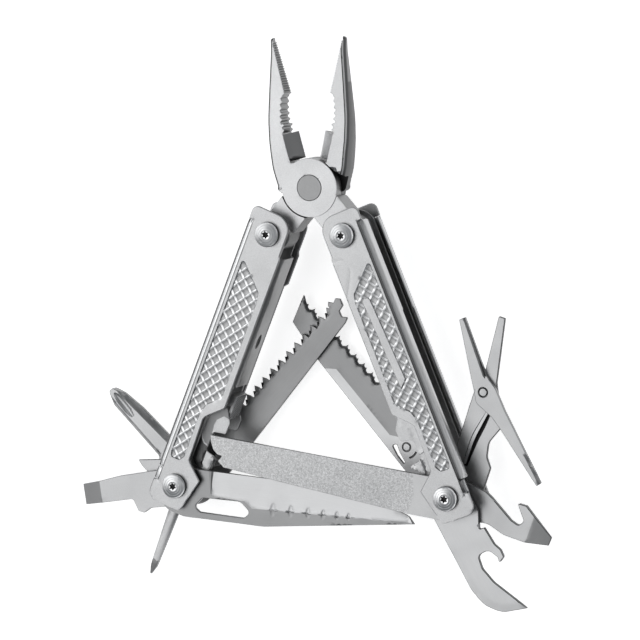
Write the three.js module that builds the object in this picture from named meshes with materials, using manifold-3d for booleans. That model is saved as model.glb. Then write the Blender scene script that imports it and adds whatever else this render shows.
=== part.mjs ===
// A folding multi tool lying on its back with every tool fanned out: pliers, two channel handles,
// six tools on the left handle and five on the right. Millimetres, +Z up, jaws towards +Y.
// It is laid out about the plier pivot, then moved so that the origin is under the middle of its box.

import * as THREE from 'three';
import { mergeVertices } from 'three/addons/utils/BufferGeometryUtils.js';
import Module from 'manifold-3d';

const wasm = await Module();
wasm.setup();

// ---------------------------------------------------------------- driving dimensions

const PIVOT_SPAN = 91; // top pivot to bottom pivot of a handle
const TANG_REACH = 19.9; // plier pivot to a handle's top pivot
const JAW_LENGTH = 50.2; // plier pivot to jaw tip

// Angles as the tool lies, in degrees. A direction is counted from +X, anticlockwise.
const FRONT_JAW_OPEN = 16.0;
const REAR_JAW_OPEN = 11.6;
const LEFT_TANG = 230.0;
const RIGHT_TANG = 312.4;
const LEFT_HANDLE_TILT = -21.5; // from upright
const RIGHT_HANDLE_TILT = 23.1;

// Layers, as heights above the middle plane. The back repeats the front.
const PLATE_IN = 7.9;
const PLATE_OUT = 8.8;
const OUTER_BLADE = [6.7, 7.8]; // file and serrated knife
const INNER_BLADE = [5.2, 6.5]; // knife and saw
const LINER = [4.5, 5.1];
const CHANNEL = 4.4; // half the room between the liners, less running clearance
const HEAD_OUT = 10.9; // crown of a screw head or post head

const POST_R = 2.45;
const BORE_R = 2.6;
const HEAD_R = 4.1;
const SPACER_R = 5.2;
const SCREW_R = 1.2;
const SCREW_HOLE_R = 1.35;
const POST_END = PLATE_OUT - 0.05;
const POST_HOLE = 3; // floor of the tapped hole
const SCREW_END = 4;
const HEAD_EDGE = 0.4;
const RECESS = { radius: 1.1, depth: 0.9 };
const AXIAL_GAP = 0.1; // between layers on a pivot

// Handle plate, in the handle's frame: top pivot at the origin, -Y to the bottom pivot, inner side +X.
const PALM_EDGE = -8.6;
const INNER_EDGE = 6.9;
const BEND_R = 2.4;
const BEND_START = -5.9; // the flat sheet ends here and the bend begins
const SHEET = 0.9;
const FLANGE_Z = 4.6; // how near the middle plane the palm flange comes
const FLANGE_TOP = 2.4;
const FLANGE_END = -87.0;
const FLANGE_STEP = -29.4; // below this the flange is shallower
const FLANGE_STEP_DEPTH = 0.6;
const STEP_OVERLAP = 0.01; // keeps the two flange lengths one body

const GAP = 0.3; // between pieces that meet in a turned group

// ---------------------------------------------------------------- colours

const FINISHES = {
  plate: { color: 0xb4b5b5, roughness: 0.5, metalness: 0.9 },
  liner: { color: 0x8f9192, roughness: 0.4, metalness: 0.95 },
  jaw: { color: 0xc3c4c4, roughness: 0.42, metalness: 0.9 },
  blade: { color: 0xb6b7b8, roughness: 0.3, metalness: 0.95 },
  tool: { color: 0xa9aaab, roughness: 0.38, metalness: 0.95 },
  file: { color: 0x9b9c9c, roughness: 0.7, metalness: 0.85 },
  screw: { color: 0xb9babb, roughness: 0.2, metalness: 1.0 },
};

// ---------------------------------------------------------------- outlines

const radians = THREE.MathUtils.degToRad;

/** Points along an outline whose corners [x, y, radius] are rounded by arcs, as far as the sides allow. */
function roundedPoints(corners, stepDegrees = 20) {
  const points = [];
  corners.forEach(([x, y, radius = 0], index) => {
    const corner = new THREE.Vector2(x, y);
    if (radius === 0) {
      points.push(corner);
      return;
    }
    const [before, after] = [corners.at(index - 1), corners[(index + 1) % corners.length]]
      .map((neighbour) => new THREE.Vector2(neighbour[0], neighbour[1]).sub(corner));
    const reachable = 0.49 * Math.min(before.length(), after.length());
    before.normalize();
    after.normalize();
    const half = Math.acos(THREE.MathUtils.clamp(before.dot(after), -1, 1)) / 2;
    const toTangent = Math.min(radius / Math.tan(half), reachable);
    const toCentre = toTangent / Math.cos(half);
    const centre = before.clone().add(after).normalize().multiplyScalar(toCentre).add(corner);
    const start = before.multiplyScalar(toTangent).add(corner).sub(centre);
    const end = after.multiplyScalar(toTangent).add(corner).sub(centre);
    const turn = Math.atan2(start.cross(end), start.dot(end));
    const steps = Math.max(1, Math.ceil(Math.abs(turn) / radians(stepDegrees)));
    for (let step = 0; step <= steps; step++) {
      points.push(start.clone().rotateAround(new THREE.Vector2(), (turn * step) / steps).add(centre));
    }
  });
  return points;
}

/** A closed shape with rounded corners, mirrored in X when side is -1. Holes run the other way round. */
function outline(corners, { side = 1, bores = [], holes = [] } = {}) {
  const wound = (list, clockwise) => {
    const points = roundedPoints(list.map(([x, y, radius]) => [x * side, y, radius]));
    return THREE.ShapeUtils.isClockWise(points) === clockwise ? points : points.reverse();
  };
  const shape = new THREE.Shape(wound(corners, false));
  for (const [x, y, radius] of bores) {
    shape.holes.push(new THREE.Path().absarc(x * side, y, radius, 0, 2 * Math.PI, true));
  }
  for (const hole of holes) {
    shape.holes.push(new THREE.Path(wound(hole, true)));
  }
  return shape;
}

/** A flat piece of a shape between two heights. A full circle gets twice the segments. */
function slab(shape, [low, high], curveSegments = 9) {
  const settings = { depth: high - low, bevelEnabled: false, curveSegments };
  return new THREE.ExtrudeGeometry(shape, settings).translate(0, 0, low);
}

const back = ([low, high]) => [-high, -low];
const circle = (radius) => new THREE.Shape().absarc(0, 0, radius, 0, 2 * Math.PI);

/** A turned piece about Z from [radius, height] points that start and end on the axis or close. */
function turned(points, segments = 20) {
  const profile = points.map(([radius, height]) => new THREE.Vector2(radius, height));
  return new THREE.LatheGeometry(profile, segments).rotateX(Math.PI / 2);
}

// ---------------------------------------------------------------- joins and cuts

function toSolid(geometry) {
  const bare = geometry.clone();
  bare.deleteAttribute('normal');
  bare.deleteAttribute('uv');
  const merged = mergeVertices(bare, 1e-4);
  return new wasm.Manifold(new wasm.Mesh({
    numProp: 3,
    vertProperties: new Float32Array(merged.attributes.position.array),
    triVerts: new Uint32Array(merged.index.array),
  }));
}

function toGeometry(solid) {
  const mesh = solid.getMesh();
  const geometry = new THREE.BufferGeometry();
  geometry.setAttribute('position', new THREE.BufferAttribute(new Float32Array(mesh.vertProperties), 3));
  geometry.setIndex(new THREE.BufferAttribute(new Uint32Array(mesh.triVerts), 1));
  geometry.computeVertexNormals();
  return geometry;
}

const join = (first, ...others) => others.reduce((sum, other) => sum.add(toSolid(other)), toSolid(first));
const cut = (solid, ...others) => others.reduce((rest, other) => rest.subtract(toSolid(other)), solid);

// ---------------------------------------------------------------- scene graph

const tool = new THREE.Group();

function add(parent, name, geometry, finish) {
  const mesh = new THREE.Mesh(geometry, new THREE.MeshStandardMaterial(FINISHES[finish]));
  mesh.name = name;
  parent.add(mesh);
}

/** A group at a point, turned by an angle in degrees. */
function placed(parent, { x, y }, degrees) {
  const group = new THREE.Group();
  group.position.set(x, y, 0);
  group.rotation.z = radians(degrees);
  parent.add(group);
  return group;
}

const ORIGIN = new THREE.Vector2();
const polar = (from, degrees, reach) => new THREE.Vector2(reach, 0)
  .rotateAround(ORIGIN, radians(degrees)).add(from);

// ---------------------------------------------------------------- pliers

const LAP_R = 9.6; // joint disc
const LAP_FACE = 0.05; // each half stops this far in front of or behind the middle plane
const LAP_CLEARANCE = 0.3;
const RIVET_R = 4.15;
const RIVET_CLEARANCE = 0.1;
const TANG_HALF_WIDTH = 5.4;
const TANG_SHOULDER = 15; // how far along the tang its straight sides run
const TANG_HUB_R = 6.1;
const CUTTER = { low: 10.0, high: 18.8, face: 0.15, depth: 4.6, edge: 2.2, half: 2.3 };
const SEAT = { open: 4, half: 2.6 };
const THROUGH = [-PLATE_OUT, PLATE_OUT]; // a cut that goes right through

// Jaw and tang in a frame whose +Y is the closed jaw line, for a jaw that lies on the -X side.
const JAW = [
  [-0.15, JAW_LENGTH, 0.3], [-1.3, JAW_LENGTH, 0.8], [-2.2, 46, 10], [-5.6, 35, 30], [-8.6, 25, 30],
  [-10.0, 18, 20], [-11.1, 9, 14], [-10.8, 1.2, 1.5], [0, -4], [0, 8.6], [-4.4, 9.6, 0.5],
  [-4.2, 20, 4], [-3.2, 26.5, 5], [-0.6, 31.2, 0.6], [-0.15, 32.5, 0.6],
];
const JAW_TAPER = { from: 14, tip: 1.5 }; // the jaw thins from here to this half thickness
const JAW_PROFILE = [
  [-JAW_LENGTH, -CHANNEL], [JAW_TAPER.from, -CHANNEL], [JAW_LENGTH + 1, -JAW_TAPER.tip],
  [JAW_LENGTH + 1, JAW_TAPER.tip], [JAW_TAPER.from, CHANNEL], [-JAW_LENGTH, CHANNEL],
];

/** Half of the pliers; side 1 has its jaw at -X and its lap half in front, side -1 mirrors both. */
function pliersHalf(side, tangDegrees) {
  const tang = polar(ORIGIN, tangDegrees, TANG_REACH);
  const along = tang.clone().normalize();
  const across = new THREE.Vector2(-along.y, along.x);
  const beside = (reach, width) => along.clone().multiplyScalar(reach)
    .addScaledVector(across, width).toArray();
  const tangOutline = [
    beside(0, TANG_HALF_WIDTH), beside(0, -TANG_HALF_WIDTH),
    beside(TANG_SHOULDER, -TANG_HALF_WIDTH), beside(TANG_SHOULDER, TANG_HALF_WIDTH),
  ];
  const full = [-CHANNEL, CHANNEL];
  const lapHalf = side > 0 ? [LAP_FACE, CHANNEL] : [-CHANNEL, -LAP_FACE];
  const otherHalf = side > 0 ? [-CHANNEL - 1, LAP_FACE] : [-LAP_FACE, CHANNEL + 1];
  const whole = join(
    slab(outline(JAW, { side }), full),
    slab(outline(tangOutline), full),
    slab(circle(LAP_R), lapHalf, 20),
    slab(circle(TANG_HUB_R), full).translate(tang.x, tang.y, 0),
  );
  const lapped = cut(
    whole,
    slab(circle(LAP_R + LAP_CLEARANCE), otherHalf, 20),
    slab(circle(RIVET_R + RIVET_CLEARANCE), THROUGH),
    slab(circle(BORE_R), THROUGH).translate(tang.x, tang.y, 0),
    cutterSeat(side),
  );
  return toGeometry(lapped.intersect(toSolid(jawEnvelope())));
}

/** The side view of a jaw carried across its width, which tapers the jaw's thickness. */
function jawEnvelope() {
  const profile = new THREE.Shape(JAW_PROFILE.map(([y, z]) => new THREE.Vector2(y, z)));
  const toSideView = new THREE.Matrix4().makeBasis(
    new THREE.Vector3(0, 1, 0), new THREE.Vector3(0, 0, 1), new THREE.Vector3(1, 0, 0),
  );
  return slab(profile, [-JAW_LENGTH, JAW_LENGTH]).applyMatrix4(toSideView);
}

/** The square seat that a cutter insert drops into. */
function cutterSeat(side) {
  const { low, high, depth } = CUTTER;
  const seat = [
    [SEAT.open, low - GAP], [SEAT.open, high + GAP], [-depth - GAP, high + GAP], [-depth - GAP, low - GAP],
  ];
  return slab(outline(seat, { side }), [-SEAT.half, SEAT.half]);
}

/** A wire cutter insert with its edge on the middle plane. */
function cutterInsert(side) {
  const { low, high, face, depth, edge, half } = CUTTER;
  const profile = [[-depth, -half], [-edge, -half], [-face, 0], [-edge, half], [-depth, half]];
  const shape = new THREE.Shape(profile.map(([x, z]) => new THREE.Vector2(x * side, -z)));
  return slab(shape, [low, high]).rotateX(-Math.PI / 2);
}

const frontJaw = placed(tool, ORIGIN, FRONT_JAW_OPEN);
const rearJaw = placed(tool, ORIGIN, -REAR_JAW_OPEN);
add(frontJaw, 'jaw_front', pliersHalf(1, RIGHT_TANG - FRONT_JAW_OPEN), 'jaw');
add(rearJaw, 'jaw_rear', pliersHalf(-1, LEFT_TANG + REAR_JAW_OPEN), 'jaw');
add(frontJaw, 'wire_cutter_front', cutterInsert(1), 'tool');
add(rearJaw, 'wire_cutter_rear', cutterInsert(-1), 'tool');
add(tool, 'plier_rivet', slab(circle(RIVET_R), [-CHANNEL - LAP_FACE, CHANNEL + LAP_FACE]), 'screw');

// ---------------------------------------------------------------- handles

const PLATE = [
  [-6.2, FLANGE_TOP], [-8.1, FLANGE_TOP, 0.1], [-8.1, 7.4, 4.9], [6.4, 7.4, 5.4], [6.4, -5.2, 0.4],
  [INNER_EDGE, -6.2, 0.4], [INNER_EDGE, -59.6, 1.6], [1.1, -65.4, 2.6], [1.5, -81.2, 1.4],
  [7.5, -86.0, 0.8], [4.4, -98.4, 1.6], [-8.0, -98.9, 7.2], [-8.0, FLANGE_END, 0.5], [-6.2, FLANGE_END],
];
const LINER_OUTLINE = [
  [-7.0, 7.0, 6.4], [5.6, 7.0, 5], [5.6, -5.8, 0.5], [6.0, -6.4], [6.0, -58.5, 0.8], [0.4, -64.2, 1.6],
  [0.8, -82.6, 1.6], [6.8, -86.6, 1], [5.6, -97.4, 4], [-6.8, -97.4, 6], [-6.8, -60, 2],
];
const LOCK_LEAF = [
  [1.3, -64.8, 0.6], [6.4, -60.0, 0.6], [9.2, -64.6, 0.8], [9.0, -68.6, 0.8], [4.8, -69.6, 1],
  [4.6, -76.4, 1], [9.2, -77.4, 0.8], [8.6, -81.6, 1], [5.6, -84.0, 0.8], [1.7, -81.4, 0.8],
];
const WEB = {
  from: -6.4, to: -52.8, face: INNER_EDGE, arm: 2, sheet: 0.8, hole: -36.5, holeR: 1.5, holeStretch: 1.7,
};
const SLIDER = {
  from: -55.2, to: -64.0, stemEnd: -59.5, stem: 5.4, cap: 7.1, face: 8.3, half: 4.2, ribs: 7, rib: 0.4,
};

/** A cover plate with its palm edge bent over into a flange; facing 1 is the front, -1 the back. */
function coverPlate(side, facing) {
  const bores = [[0, 0, BORE_R], [0, -PIVOT_SPAN, BORE_R]];
  const flat = slab(outline(PLATE, { side, bores }), [PLATE_IN, PLATE_OUT]);
  const bend = (flangeZ, [low, high]) => {
    const section = outline([
      [BEND_START, PLATE_IN], [BEND_START, PLATE_OUT], [PALM_EDGE, PLATE_OUT, BEND_R], [PALM_EDGE, flangeZ],
      [PALM_EDGE + SHEET, flangeZ], [PALM_EDGE + SHEET, PLATE_IN, BEND_R - SHEET],
    ], { side });
    return slab(section, [low, high]).rotateX(Math.PI / 2);
  };
  const deep = bend(FLANGE_Z, [-FLANGE_TOP, -FLANGE_STEP]);
  const shallow = bend(FLANGE_Z + FLANGE_STEP_DEPTH, [-FLANGE_STEP - STEP_OVERLAP, -FLANGE_END]);
  const plate = toGeometry(join(flat, deep, shallow));
  return facing > 0 ? plate : mirroredBack(plate);
}

/** The same piece on the other side of the middle plane, with its faces still pointing out. */
function mirroredBack(geometry) {
  const flipped = geometry.clone().scale(1, 1, -1);
  const index = flipped.index.array;
  for (let corner = 0; corner < index.length; corner += 3) {
    [index[corner], index[corner + 1]] = [index[corner + 1], index[corner]];
  }
  flipped.computeVertexNormals();
  return flipped;
}

/** The U-shaped channel: two liners joined by the web on the inner side. */
function channel(side) {
  const bores = [[0, 0, BORE_R], [0, -PIVOT_SPAN, BORE_R]];
  const liner = outline(LINER_OUTLINE, { side, bores });
  const { face } = WEB;
  const section = outline([
    [WEB.arm, LINER[0]], [WEB.arm, LINER[1]], [face, LINER[1], 1.4], [face, -LINER[1], 1.4],
    [WEB.arm, -LINER[1]], [WEB.arm, -LINER[0]],
    [face - WEB.sheet, -LINER[0], 0.5], [face - WEB.sheet, LINER[0], 0.5],
  ], { side });
  const web = slab(section, [-WEB.from, -WEB.to]).rotateX(Math.PI / 2);
  const hole = slab(circle(WEB.holeR), [0, 2 * face]).rotateY(side * Math.PI / 2)
    .scale(1, WEB.holeStretch, 1).translate(0, WEB.hole, 0);
  return toGeometry(cut(join(web, slab(liner, LINER), slab(liner, back(LINER))), hole));
}

/** A thumb slider: a ribbed cap over the web's end, on a stem between the liners. */
function ribbedSlider(side) {
  const { from, to, stemEnd, stem, cap, face, half, ribs, rib: ribHeight } = SLIDER;
  const pitch = (from - to) / ribs;
  const root = face - ribHeight;
  const corners = [[cap, to], [cap, stemEnd], [stem, stemEnd], [stem, from], [root, from]];
  for (let rib = 0; rib < ribs; rib++) {
    const top = from - rib * pitch;
    corners.push([face, top - 0.25 * pitch], [face, top - 0.6 * pitch], [root, top - 0.85 * pitch]);
  }
  corners.push([root, to]);
  return slab(outline(corners, { side }), [-half, half]);
}

/** A post with a flat head at the back and a tapped hole at the front. */
function post() {
  return turned([
    [0, -HEAD_OUT], [HEAD_R - HEAD_EDGE, -HEAD_OUT], [HEAD_R, -HEAD_OUT + HEAD_EDGE], [HEAD_R, -PLATE_OUT],
    [POST_R, -PLATE_OUT], [POST_R, POST_END], [SCREW_HOLE_R, POST_END], [SCREW_HOLE_R, POST_HOLE],
    [0, POST_HOLE],
  ]);
}

/** A domed screw with a round driver recess. */
function screw() {
  return turned([
    [0, SCREW_END], [SCREW_R, SCREW_END], [SCREW_R, PLATE_OUT], [HEAD_R, PLATE_OUT], [HEAD_R, HEAD_OUT - 0.7],
    [3.3, HEAD_OUT - 0.2], [1.9, HEAD_OUT], [RECESS.radius, HEAD_OUT],
    [RECESS.radius, HEAD_OUT - RECESS.depth], [0, HEAD_OUT - RECESS.depth],
  ]);
}

function ring(outer, [low, high]) {
  const shape = circle(outer);
  shape.holes.push(new THREE.Path().absarc(0, 0, BORE_R, 0, 2 * Math.PI, true));
  return slab(shape, [low, high]);
}

/** One handle with its plates, channel, lock leaves, slider, posts, screws and spacers. */
function buildHandle(name, topPivot, tilt, side, bladeLayer) {
  const handle = placed(tool, topPivot, tilt);
  add(handle, `${name}_front_plate`, coverPlate(side, 1), 'plate');
  add(handle, `${name}_rear_plate`, coverPlate(side, -1), 'plate');
  add(handle, `${name}_channel`, channel(side), 'liner');
  add(handle, `${name}_front_lock_leaf`, slab(outline(LOCK_LEAF, { side }), LINER), 'liner');
  add(handle, `${name}_rear_lock_leaf`, slab(outline(LOCK_LEAF, { side }), back(LINER)), 'liner');
  add(handle, `${name}_slider`, ribbedSlider(side), 'liner');
  const free = [LINER[1] + AXIAL_GAP, PLATE_IN - AXIAL_GAP];
  const beside = bladeLayer === OUTER_BLADE
    ? [free[0], OUTER_BLADE[0] - AXIAL_GAP]
    : [INNER_BLADE[1] + AXIAL_GAP, free[1]];
  for (const [end, y, room] of [['top', 0, free], ['bottom', -PIVOT_SPAN, beside]]) {
    add(handle, `${name}_${end}_post`, post().translate(0, y, 0), 'screw');
    add(handle, `${name}_${end}_screw`, screw().translate(0, y, 0), 'screw');
    add(handle, `${name}_${end}_front_spacer`, ring(SPACER_R, room).translate(0, y, 0), 'tool');
    add(handle, `${name}_${end}_rear_spacer`, ring(SPACER_R, back(room)).translate(0, y, 0), 'tool');
  }
  return polar(topPivot, tilt - 90, PIVOT_SPAN);
}

const leftTop = polar(ORIGIN, LEFT_TANG, TANG_REACH);
const rightTop = polar(ORIGIN, RIGHT_TANG, TANG_REACH);
const leftBottom = buildHandle('left', leftTop, LEFT_HANDLE_TILT, 1, INNER_BLADE);
const rightBottom = buildHandle('right', rightTop, RIGHT_HANDLE_TILT, -1, OUTER_BLADE);

// ---------------------------------------------------------------- folding tools

const HUB_BORE = [[0, 0, BORE_R]];

/** A flat tool on a bottom pivot, drawn along +X from the pivot and turned to its direction. */
function addTool(pivot, name, degrees, layer, finish, corners, openings = {}) {
  const shape = outline(corners, { bores: HUB_BORE, ...openings });
  add(placed(tool, pivot, degrees), name, slab(shape, layer), finish);
}

const THUMB_SLOT = [
  [9.2, -3.0, 1], [22.8, -2.2, 2], [26.6, -5.4, 1], [24.5, -7.4, 0.8], [8.7, -7.9, 0.8], [6.5, -6.4, 0.8],
];
addTool(leftBottom, 'knife', -5.5, INNER_BLADE, 'blade', [
  [83.9, 0], [31.7, -9.2, 6], [3.0, -10.3, 5], [-5.6, -8.4, 6], [-6.9, 6.2, 5.8], [12, 6.4, 2],
  [40, 7.3, 60], [67, 6.4, 40], [81.5, 2.6, 3],
], { holes: [THUMB_SLOT] });

addTool(leftBottom, 'saw', 48.5, back(INNER_BLADE), 'blade', [
  [82.2, 3.4, 0.3], [82.4, 1.0, 0.4], [79.2, -0.8, 0.8], [81.6, -3.0, 0.4], [80.0, -4.4, 0.4],
  [25, -7.4, 20], [-6.8, -9.0, 6.4], [-6.8, 6.3, 5.8], [9, 6.0, 2], [20, 4.8, 6],
]);

addTool(leftBottom, 'flat_driver', 189, [2.6, 4.3], 'tool', [
  [35.9, -3.4, 0.2], [35.9, 3.6, 0.2], [29.6, 3.6, 1], [18.2, 3.4, 1], [16.8, 7.6, 0.4], [14.7, 8.4, 0.6],
  [12.0, 7.0, 0.8], [3, 7.2, 3], [-6.6, 5.0, 4.5], [-6.6, -5.6, 5.2], [8, -5.3, 4], [22, -4.8, 6],
  [29.6, -3.8, 1],
]);

addTool(leftBottom, 'pointed_pick', 156, [1.3, 2.4], 'tool', [
  [17.7, 0.3, 0.2], [14.6, 2.0, 0.6], [11, 3.2, 2], [0, 6.4, 3], [-6.2, 4, 4], [-6.2, -5, 4.5],
  [5, -6, 3], [11, -3.3, 1],
]);

addTool(leftBottom, 'phillips_large', 132, [-2.2, 1.1], 'tool', [
  [40.1, -0.7, 0.2], [40.1, 0.7, 0.2], [35.6, 2.9, 1], [12, 1.6, 3], [4, 6.6, 3], [-6.4, 6.2, 5.6],
  [-6.4, -6.4, 5.6], [16, -5.8, 6], [28.3, -4.6, 4], [36.3, -2.9, 1],
]);

addTool(leftBottom, 'phillips_small', 246.2, [-4.2, -2.4], 'tool', [
  [35.4, -0.3, 0.1], [35.4, 0.3, 0.1], [32.4, 1.1, 0.5], [12, 1.1, 3], [2, 6.4, 3], [-6.4, 5, 5],
  [-6.4, -5, 5], [2, -6.4, 3], [12, -2.9, 3], [32.4, -1.1, 0.5],
]);

addTool(rightBottom, 'file', 171.5, OUTER_BLADE, 'file', [
  [84.4, -3.6, 0.3], [83.6, 0.2, 0.4], [82.0, 2.2, 0.5], [79.2, 2.6, 0.3], [80.4, 4.4, 0.5], [77.8, 6.3, 0.5],
  [12, 7.9, 6], [-6.9, 7.4, 6.4], [-6.9, -6.2, 6], [8, -5.7, 4],
]);

const NAIL_SLOT = [[26.8, 7.1, 0.6], [25.6, 5.4, 0.6], [18.6, 6.2, 0.6], [19.2, 8.2, 0.6]];
addTool(rightBottom, 'serrated_knife', 135.5, back(OUTER_BLADE), 'blade', [
  [83.2, -5.2], [79.6, 4.0], [64.8, 6.4, 4], [17.6, 9.9, 5], [-5.6, 8.2, 6], [-6.9, -6.4, 6.2], [10, -5.2, 4],
], { holes: [NAIL_SLOT] });

addTool(rightBottom, 'bottle_opener', -24, [0.6, 2.5], 'tool', [
  [35.3, 2.8, 0.3], [23.7, 8.5, 0.3], [20.8, 7.9, 0.3], [21.6, 6.9, 0.3], [25.0, 3.6, 1], [24.0, 1.4, 1.2],
  [21.0, 1.8, 1.6], [12.0, 5.6, 2], [9.4, 6.4, 1], [-6.4, 6.0, 5.6], [-6.4, -6.0, 5.6], [8, -5.6, 4],
  [14, -2.8, 6],
  [20.7, -3.7, 8], [28.1, -2.6, 3], [35.4, -0.1, 0.3],
]);

addTool(rightBottom, 'hook_blade', -58, [2.7, 4.3], 'tool', [
  [43.4, 3.8, 0.1], [30.8, -1.8, 6], [25.2, -2.9, 3], [20.9, -2.0, 1.6], [21.0, 2.2, 2.4], [24.6, 3.7, 0.8],
  [26.5, 3.0, 0.5], [25.4, 5.6, 0.8], [22.8, 5.8, 1], [20.4, 4.9, 1], [14.1, 4.7, 0.4], [13.8, 2.9, 0.4],
  [8.6, 5.8, 1], [-6.4, 6.0, 5.4], [-6.6, -8.6, 6], [15, -9.4, 10], [29.3, -10.0, 8], [35.8, -8.6, 8],
  [40.6, -4.6, 8],
]);

// ---------------------------------------------------------------- scissors

const SCISSORS_TURN = 81.5;
const SCISSORS_RIVET = [34.9, -4.4];
const SCISSORS_RIVET_R = 1.35;
const LEVER_LAYER = [-0.9, 0.5];
const BODY_LAYER = [-2.4, -1.0];
const rivetBore = [...SCISSORS_RIVET, SCISSORS_RIVET_R + AXIAL_GAP];

// The leaf spring lies in a slit of the body and pushes the lever's heel.
const SPRING = [
  [30.2, -6.6, 0.3], [29.5, -7.2, 0.3], [19, -3.4, 20], [10.2, -1.6, 0.3], [10.5, -0.8, 0.3], [20, -2.4, 20],
];
const SLIT = [
  [31.0, -6.7, 0.6], [29.4, -8.0, 0.6], [18.8, -4.1, 20], [9.6, -2.3, 0.6], [10.0, -0.2, 0.6],
  [20.2, -1.7, 20],
];

addTool(rightBottom, 'scissors_body', SCISSORS_TURN, BODY_LAYER, 'tool', [
  [60.0, -5.4, 0.3], [59.7, -7.6, 0.3], [38.4, -8.0, 1], [33.6, -9.4, 2], [24.2, -11.6, 0.8], [18.8, -8.3, 4],
  [14.0, -8.4, 3], [10.7, -10.2, 0.8], [3.5, -9.0, 2], [-6.4, -7.2, 5.6], [-6.4, 5.6, 5.2], [18, 1.9, 10],
  [34.4, -0.9, 3], [42.2, -3.6, 4],
], { bores: [...HUB_BORE, rivetBore], holes: [SLIT] });

const scissors = placed(tool, rightBottom, SCISSORS_TURN);
const lever = outline([
  [57.8, 5.3, 0.3], [56.6, 7.2, 0.3], [35.6, -0.9, 2], [31.0, -2.6, 2], [27.4, -8.6, 1], [24.2, -12.0, 2],
  [13.2, -22.3, 2], [8.4, -26.8, 0.4], [9.7, -28.2, 0.4], [30.6, -12.5, 6], [36.9, -8.4, 3], [40.6, -4.6, 1],
], { bores: [rivetBore] });
const rivet = slab(circle(SCISSORS_RIVET_R), [BODY_LAYER[0] - AXIAL_GAP, LEVER_LAYER[1] + AXIAL_GAP]);
add(scissors, 'scissors_lever', slab(lever, LEVER_LAYER), 'tool');
add(scissors, 'scissors_rivet', rivet.translate(...SCISSORS_RIVET, 0), 'screw');
add(scissors, 'scissors_spring', slab(outline(SPRING), BODY_LAYER), 'tool');
const innerSpacer = ring(SPACER_R, [-CHANNEL + AXIAL_GAP, BODY_LAYER[0] - AXIAL_GAP]);
add(scissors, 'right_inner_spacer', innerSpacer, 'tool');

// ---------------------------------------------------------------- origin under the middle of the box

const box = new THREE.Box3().setFromObject(tool, true);
const middle = box.getCenter(new THREE.Vector3());
const group = new THREE.Group();
tool.position.set(-middle.x, -middle.y, -box.min.z);
group.add(tool);

export default group;
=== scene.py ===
"""Looks for a folding multi tool: stamped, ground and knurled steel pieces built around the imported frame.

Shapes are drawn in millimetres in each piece's own frame, then scaled to metres and placed on the frame's
pivots. A tool is drawn along +X from its pivot; a handle has its top pivot at the origin, runs down -Y to
its bottom pivot and has its inner side at +X. Heights count from the middle plane of the tool.
"""

import math

import bpy
import numpy as np
from mathutils import Matrix, Vector
from mathutils.geometry import delaunay_2d_cdt


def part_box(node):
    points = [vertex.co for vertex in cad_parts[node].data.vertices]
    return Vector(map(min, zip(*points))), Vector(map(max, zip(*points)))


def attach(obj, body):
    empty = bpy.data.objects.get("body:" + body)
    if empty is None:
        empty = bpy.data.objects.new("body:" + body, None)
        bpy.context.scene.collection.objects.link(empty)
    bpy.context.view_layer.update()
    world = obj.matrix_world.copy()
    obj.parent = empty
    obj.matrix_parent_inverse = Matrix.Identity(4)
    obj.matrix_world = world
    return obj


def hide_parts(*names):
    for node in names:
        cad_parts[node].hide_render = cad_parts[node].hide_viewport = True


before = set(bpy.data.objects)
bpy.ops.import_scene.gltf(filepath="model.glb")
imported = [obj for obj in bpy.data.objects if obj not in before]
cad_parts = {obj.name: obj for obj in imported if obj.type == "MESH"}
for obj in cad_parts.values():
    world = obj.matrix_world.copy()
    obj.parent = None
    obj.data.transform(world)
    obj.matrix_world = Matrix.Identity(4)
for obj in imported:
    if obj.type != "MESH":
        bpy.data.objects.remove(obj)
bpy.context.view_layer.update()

MM = 0.001

# ------------------------ sizes shared by several pieces, mm

PLATE_IN, PLATE_OUT = 7.9, 8.8  # the two faces of a cover plate
OUTER_BLADE = (6.7, 7.8)  # the layer of tools next to a cover plate
INNER_BLADE = (5.2, 6.5)  # the layer of tools next to a liner
LINER = (4.5, 5.1)
PLIER_HALF = 4.4
HEAD_OUT = 10.9  # the crown of a screw head
HEAD_R = 4.1
BORE_R = 2.6
TANG_R = 5.2
SPAN = 91.0  # between the two pivots of a handle


# ------------------------ places from the frame

def centre(node):
    low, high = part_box(node)
    return (low + high) / 2


PIVOT = centre("plier_rivet")
MIDDLE = PIVOT.z


def place(at, degrees):
    """The matrix that puts a local frame at a point of the middle plane, turned about Z."""
    return Matrix.Translation((at.x, at.y, MIDDLE)) @ Matrix.Rotation(math.radians(degrees), 4, "Z")


def handle_place(side_name):
    top, bottom = centre(side_name + "_top_post"), centre(side_name + "_bottom_post")
    down = bottom - top
    return place(top, math.degrees(math.atan2(down.x, -down.y)))


LEFT, RIGHT = handle_place("left"), handle_place("right")
HANDLES = (("left", LEFT, False), ("right", RIGHT, True))  # the right one is drawn as the left one mirrored
LEFT_BOTTOM, RIGHT_BOTTOM = centre("left_bottom_post"), centre("right_bottom_post")


# ------------------------ camera, light and floor

CAMERA_TURN = math.radians(21.73)
CAMERA_RISE = math.radians(6.58)
CAMERA_DISTANCE = 1.2
CAMERA_AIM = Vector((2.05, -43.56, 0)) * MM  # counted from the plier rivet
LENS, SENSOR = 206.6, 36
LIGHTS = (  # name, place, diameter and power
    ("overhead", (-0.62, -0.12, 1.5), 1.5, 7.0),
    ("left_strip", (-1.2, 0.5, 0.95), 1.6, 6.0),
    ("right_strip", (1.25, 0.2, 0.75), 1.1, 2.2),
    ("jaw_end_fill", (0.35, 1.5, 1.1), 0.7, 2.0),
)
FLOOR_HALF = 3.0
FLOOR_GLOW = 0.72
WORLD_STRENGTH = 0.16


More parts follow.
